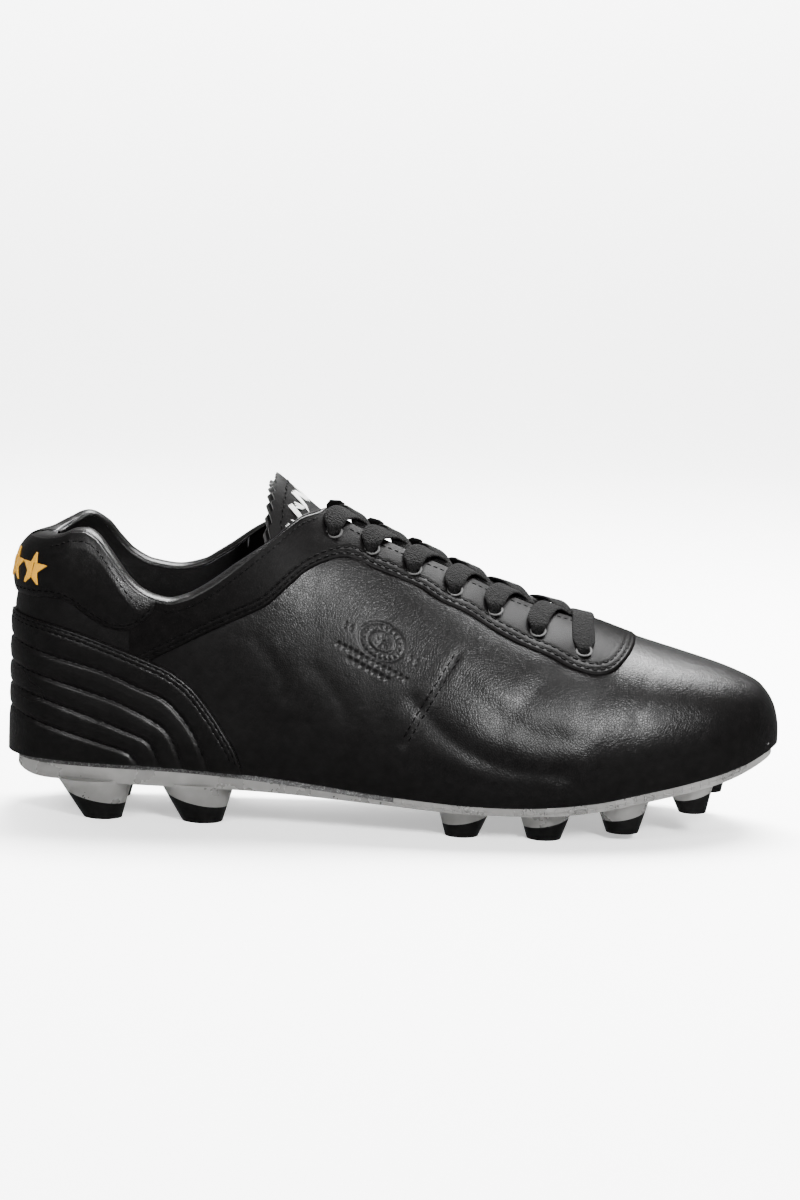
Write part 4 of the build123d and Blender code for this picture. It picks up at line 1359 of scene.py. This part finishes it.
CAD_FINISH = {
    "outsole_plate": CLEAR, "heel_rand": RAND, "heel_stud_tips": TIP, "forefoot_stud_tips": TIP,
    "stud_pins": PIN, "shank": STEEL, "insole_board": BOARD, "collar_padding": FOAM,
    "upper_backing": BACKING_CLOTH, "toe_puff": STIFF, "heel_stiffener": STIFF,
    "lace_aglets": AGLET_FILM,
}
for node, finish in CAD_FINISH.items():
    for slot in bpy.data.objects[node].material_slots:
        slot.material = finish


def make_sole_pegs():
    """Moulded pegs and a thin bead round the edge of the forefoot's clear plate."""
    plate = bpy.data.objects["outsole_plate"]
    found = []
    for side in (-1, 1):
        xs = spaced_x(-4, 142.4, 3.7)
        previous = None
        for x in xs:
            outer = last.point(x, side, -1.0, -6.0)
            inner = last.point(x, side, -1.0, 14.0)
            way = Vector(inner - outer).normalized()
            way.z = 0
            hits = []
            for drop in (0.7, 3.0, 2.1):
                start = Vector((outer[0], outer[1], float(feather(x)) - drop)) * MM
                hit, place, _, _ = plate.ray_cast(start, way, distance=0.03)
                hits.append(np.array(place) / MM if hit else None)
            if any(h is None for h in hits):
                previous = None
                continue
            out = -np.array(way)
            found.append((hits[0], hits[1], out, 0.26, 0.12))
            if previous is not None:
                found.append((previous, hits[2], out, 0.2, 0.1))
            previous = hits[2]
    threads("sole_edge_pegs", found, CLEAR)


make_sole_pegs()

# ---------------------------------------------------------------- studio
LIGHTS = [
    ("overhead", (0.14, 0.42, 0.95), (0.05, 0, 0.04), (0.8, 0.4), 90.0),
    ("high_left", (-0.75, -1.0, 0.95), (-0.03, 0, 0.05), (0.20, 0.4), 18.0),
    ("high_right", (0.55, -1.15, 0.8), (0.06, 0, 0.04), (0.30, 0.4), 50.0),
]
WALL_GLOW, FLOOR_GLOW = 7.6, 0.5


def make_paper():
    """Seamless paper: a wide floor that curves up into a wall behind the boot."""
    bend = 0.7
    profile = [(-16.0, 0.0, 12.0), (1.1, 0.0, 12.0), (1.1, 0.0, 3.5)]
    for k in range(1, 25):
        angle = math.pi / 2 * k / 24
        profile.append((1.1 + bend * math.sin(angle), bend - bend * math.cos(angle), 3.5))
    profile.append((1.1 + bend, 3.0, 3.5))
    verts = [(x, y, z) for y, z, half in profile for x in (-half, half)]
    faces = [
        (2 * i, 2 * i + 1, 2 * i + 3, 2 * i + 2) for i in range(len(profile) - 1) if i != 1
    ]
    data = bpy.data.meshes.new("paper")
    data.from_pydata(verts, [], faces)
    data.polygons.foreach_set("use_smooth", [True] * len(faces))
    paper = bpy.data.objects.new("paper", data)
    bpy.context.scene.collection.objects.link(paper)
    material, tree, shader = new_material(
        "paper", (0.9, 0.9, 0.9), 0.9, Emission_Color=(1, 1, 1, 1), Specular_IOR_Level=0.1
    )
    height = tree.nodes.new("ShaderNodeSeparateXYZ")
    tree.links.new(coordinates(tree), height.inputs[0])
    glow = tree.nodes.new("ShaderNodeMapRange")
    tree.links.new(height.outputs["Z"], glow.inputs["Value"])
    glow.inputs["From Min"].default_value = 0.0
    glow.inputs["From Max"].default_value = 0.5
    glow.inputs["To Min"].default_value = FLOOR_GLOW
    glow.inputs["To Max"].default_value = WALL_GLOW
    tree.links.new(glow.outputs["Result"], shader.inputs["Emission Strength"])
    data.materials.append(material)
    paper.visible_glossy = False


def make_lights():
    world = bpy.data.worlds.new("studio")
    world.use_nodes = True
    world.node_tree.nodes["Background"].inputs["Color"].default_value = (0.6, 0.6, 0.6, 1)
    world.node_tree.nodes["Background"].inputs["Strength"].default_value = 0.4
    bpy.context.scene.world = world
    for name, place, aim, size, energy in LIGHTS:
        light = bpy.data.lights.new(name, "AREA")
        light.shape = "RECTANGLE"
        light.size, light.size_y = size
        light.energy = energy
        lamp = bpy.data.objects.new(name, light)
        bpy.context.scene.collection.objects.link(lamp)
        lamp.location = place
        lamp.rotation_mode = "QUATERNION"
        lamp.rotation_quaternion = (Vector(aim) - Vector(place)).to_track_quat("-Z", "Y")


make_paper()
make_lights()
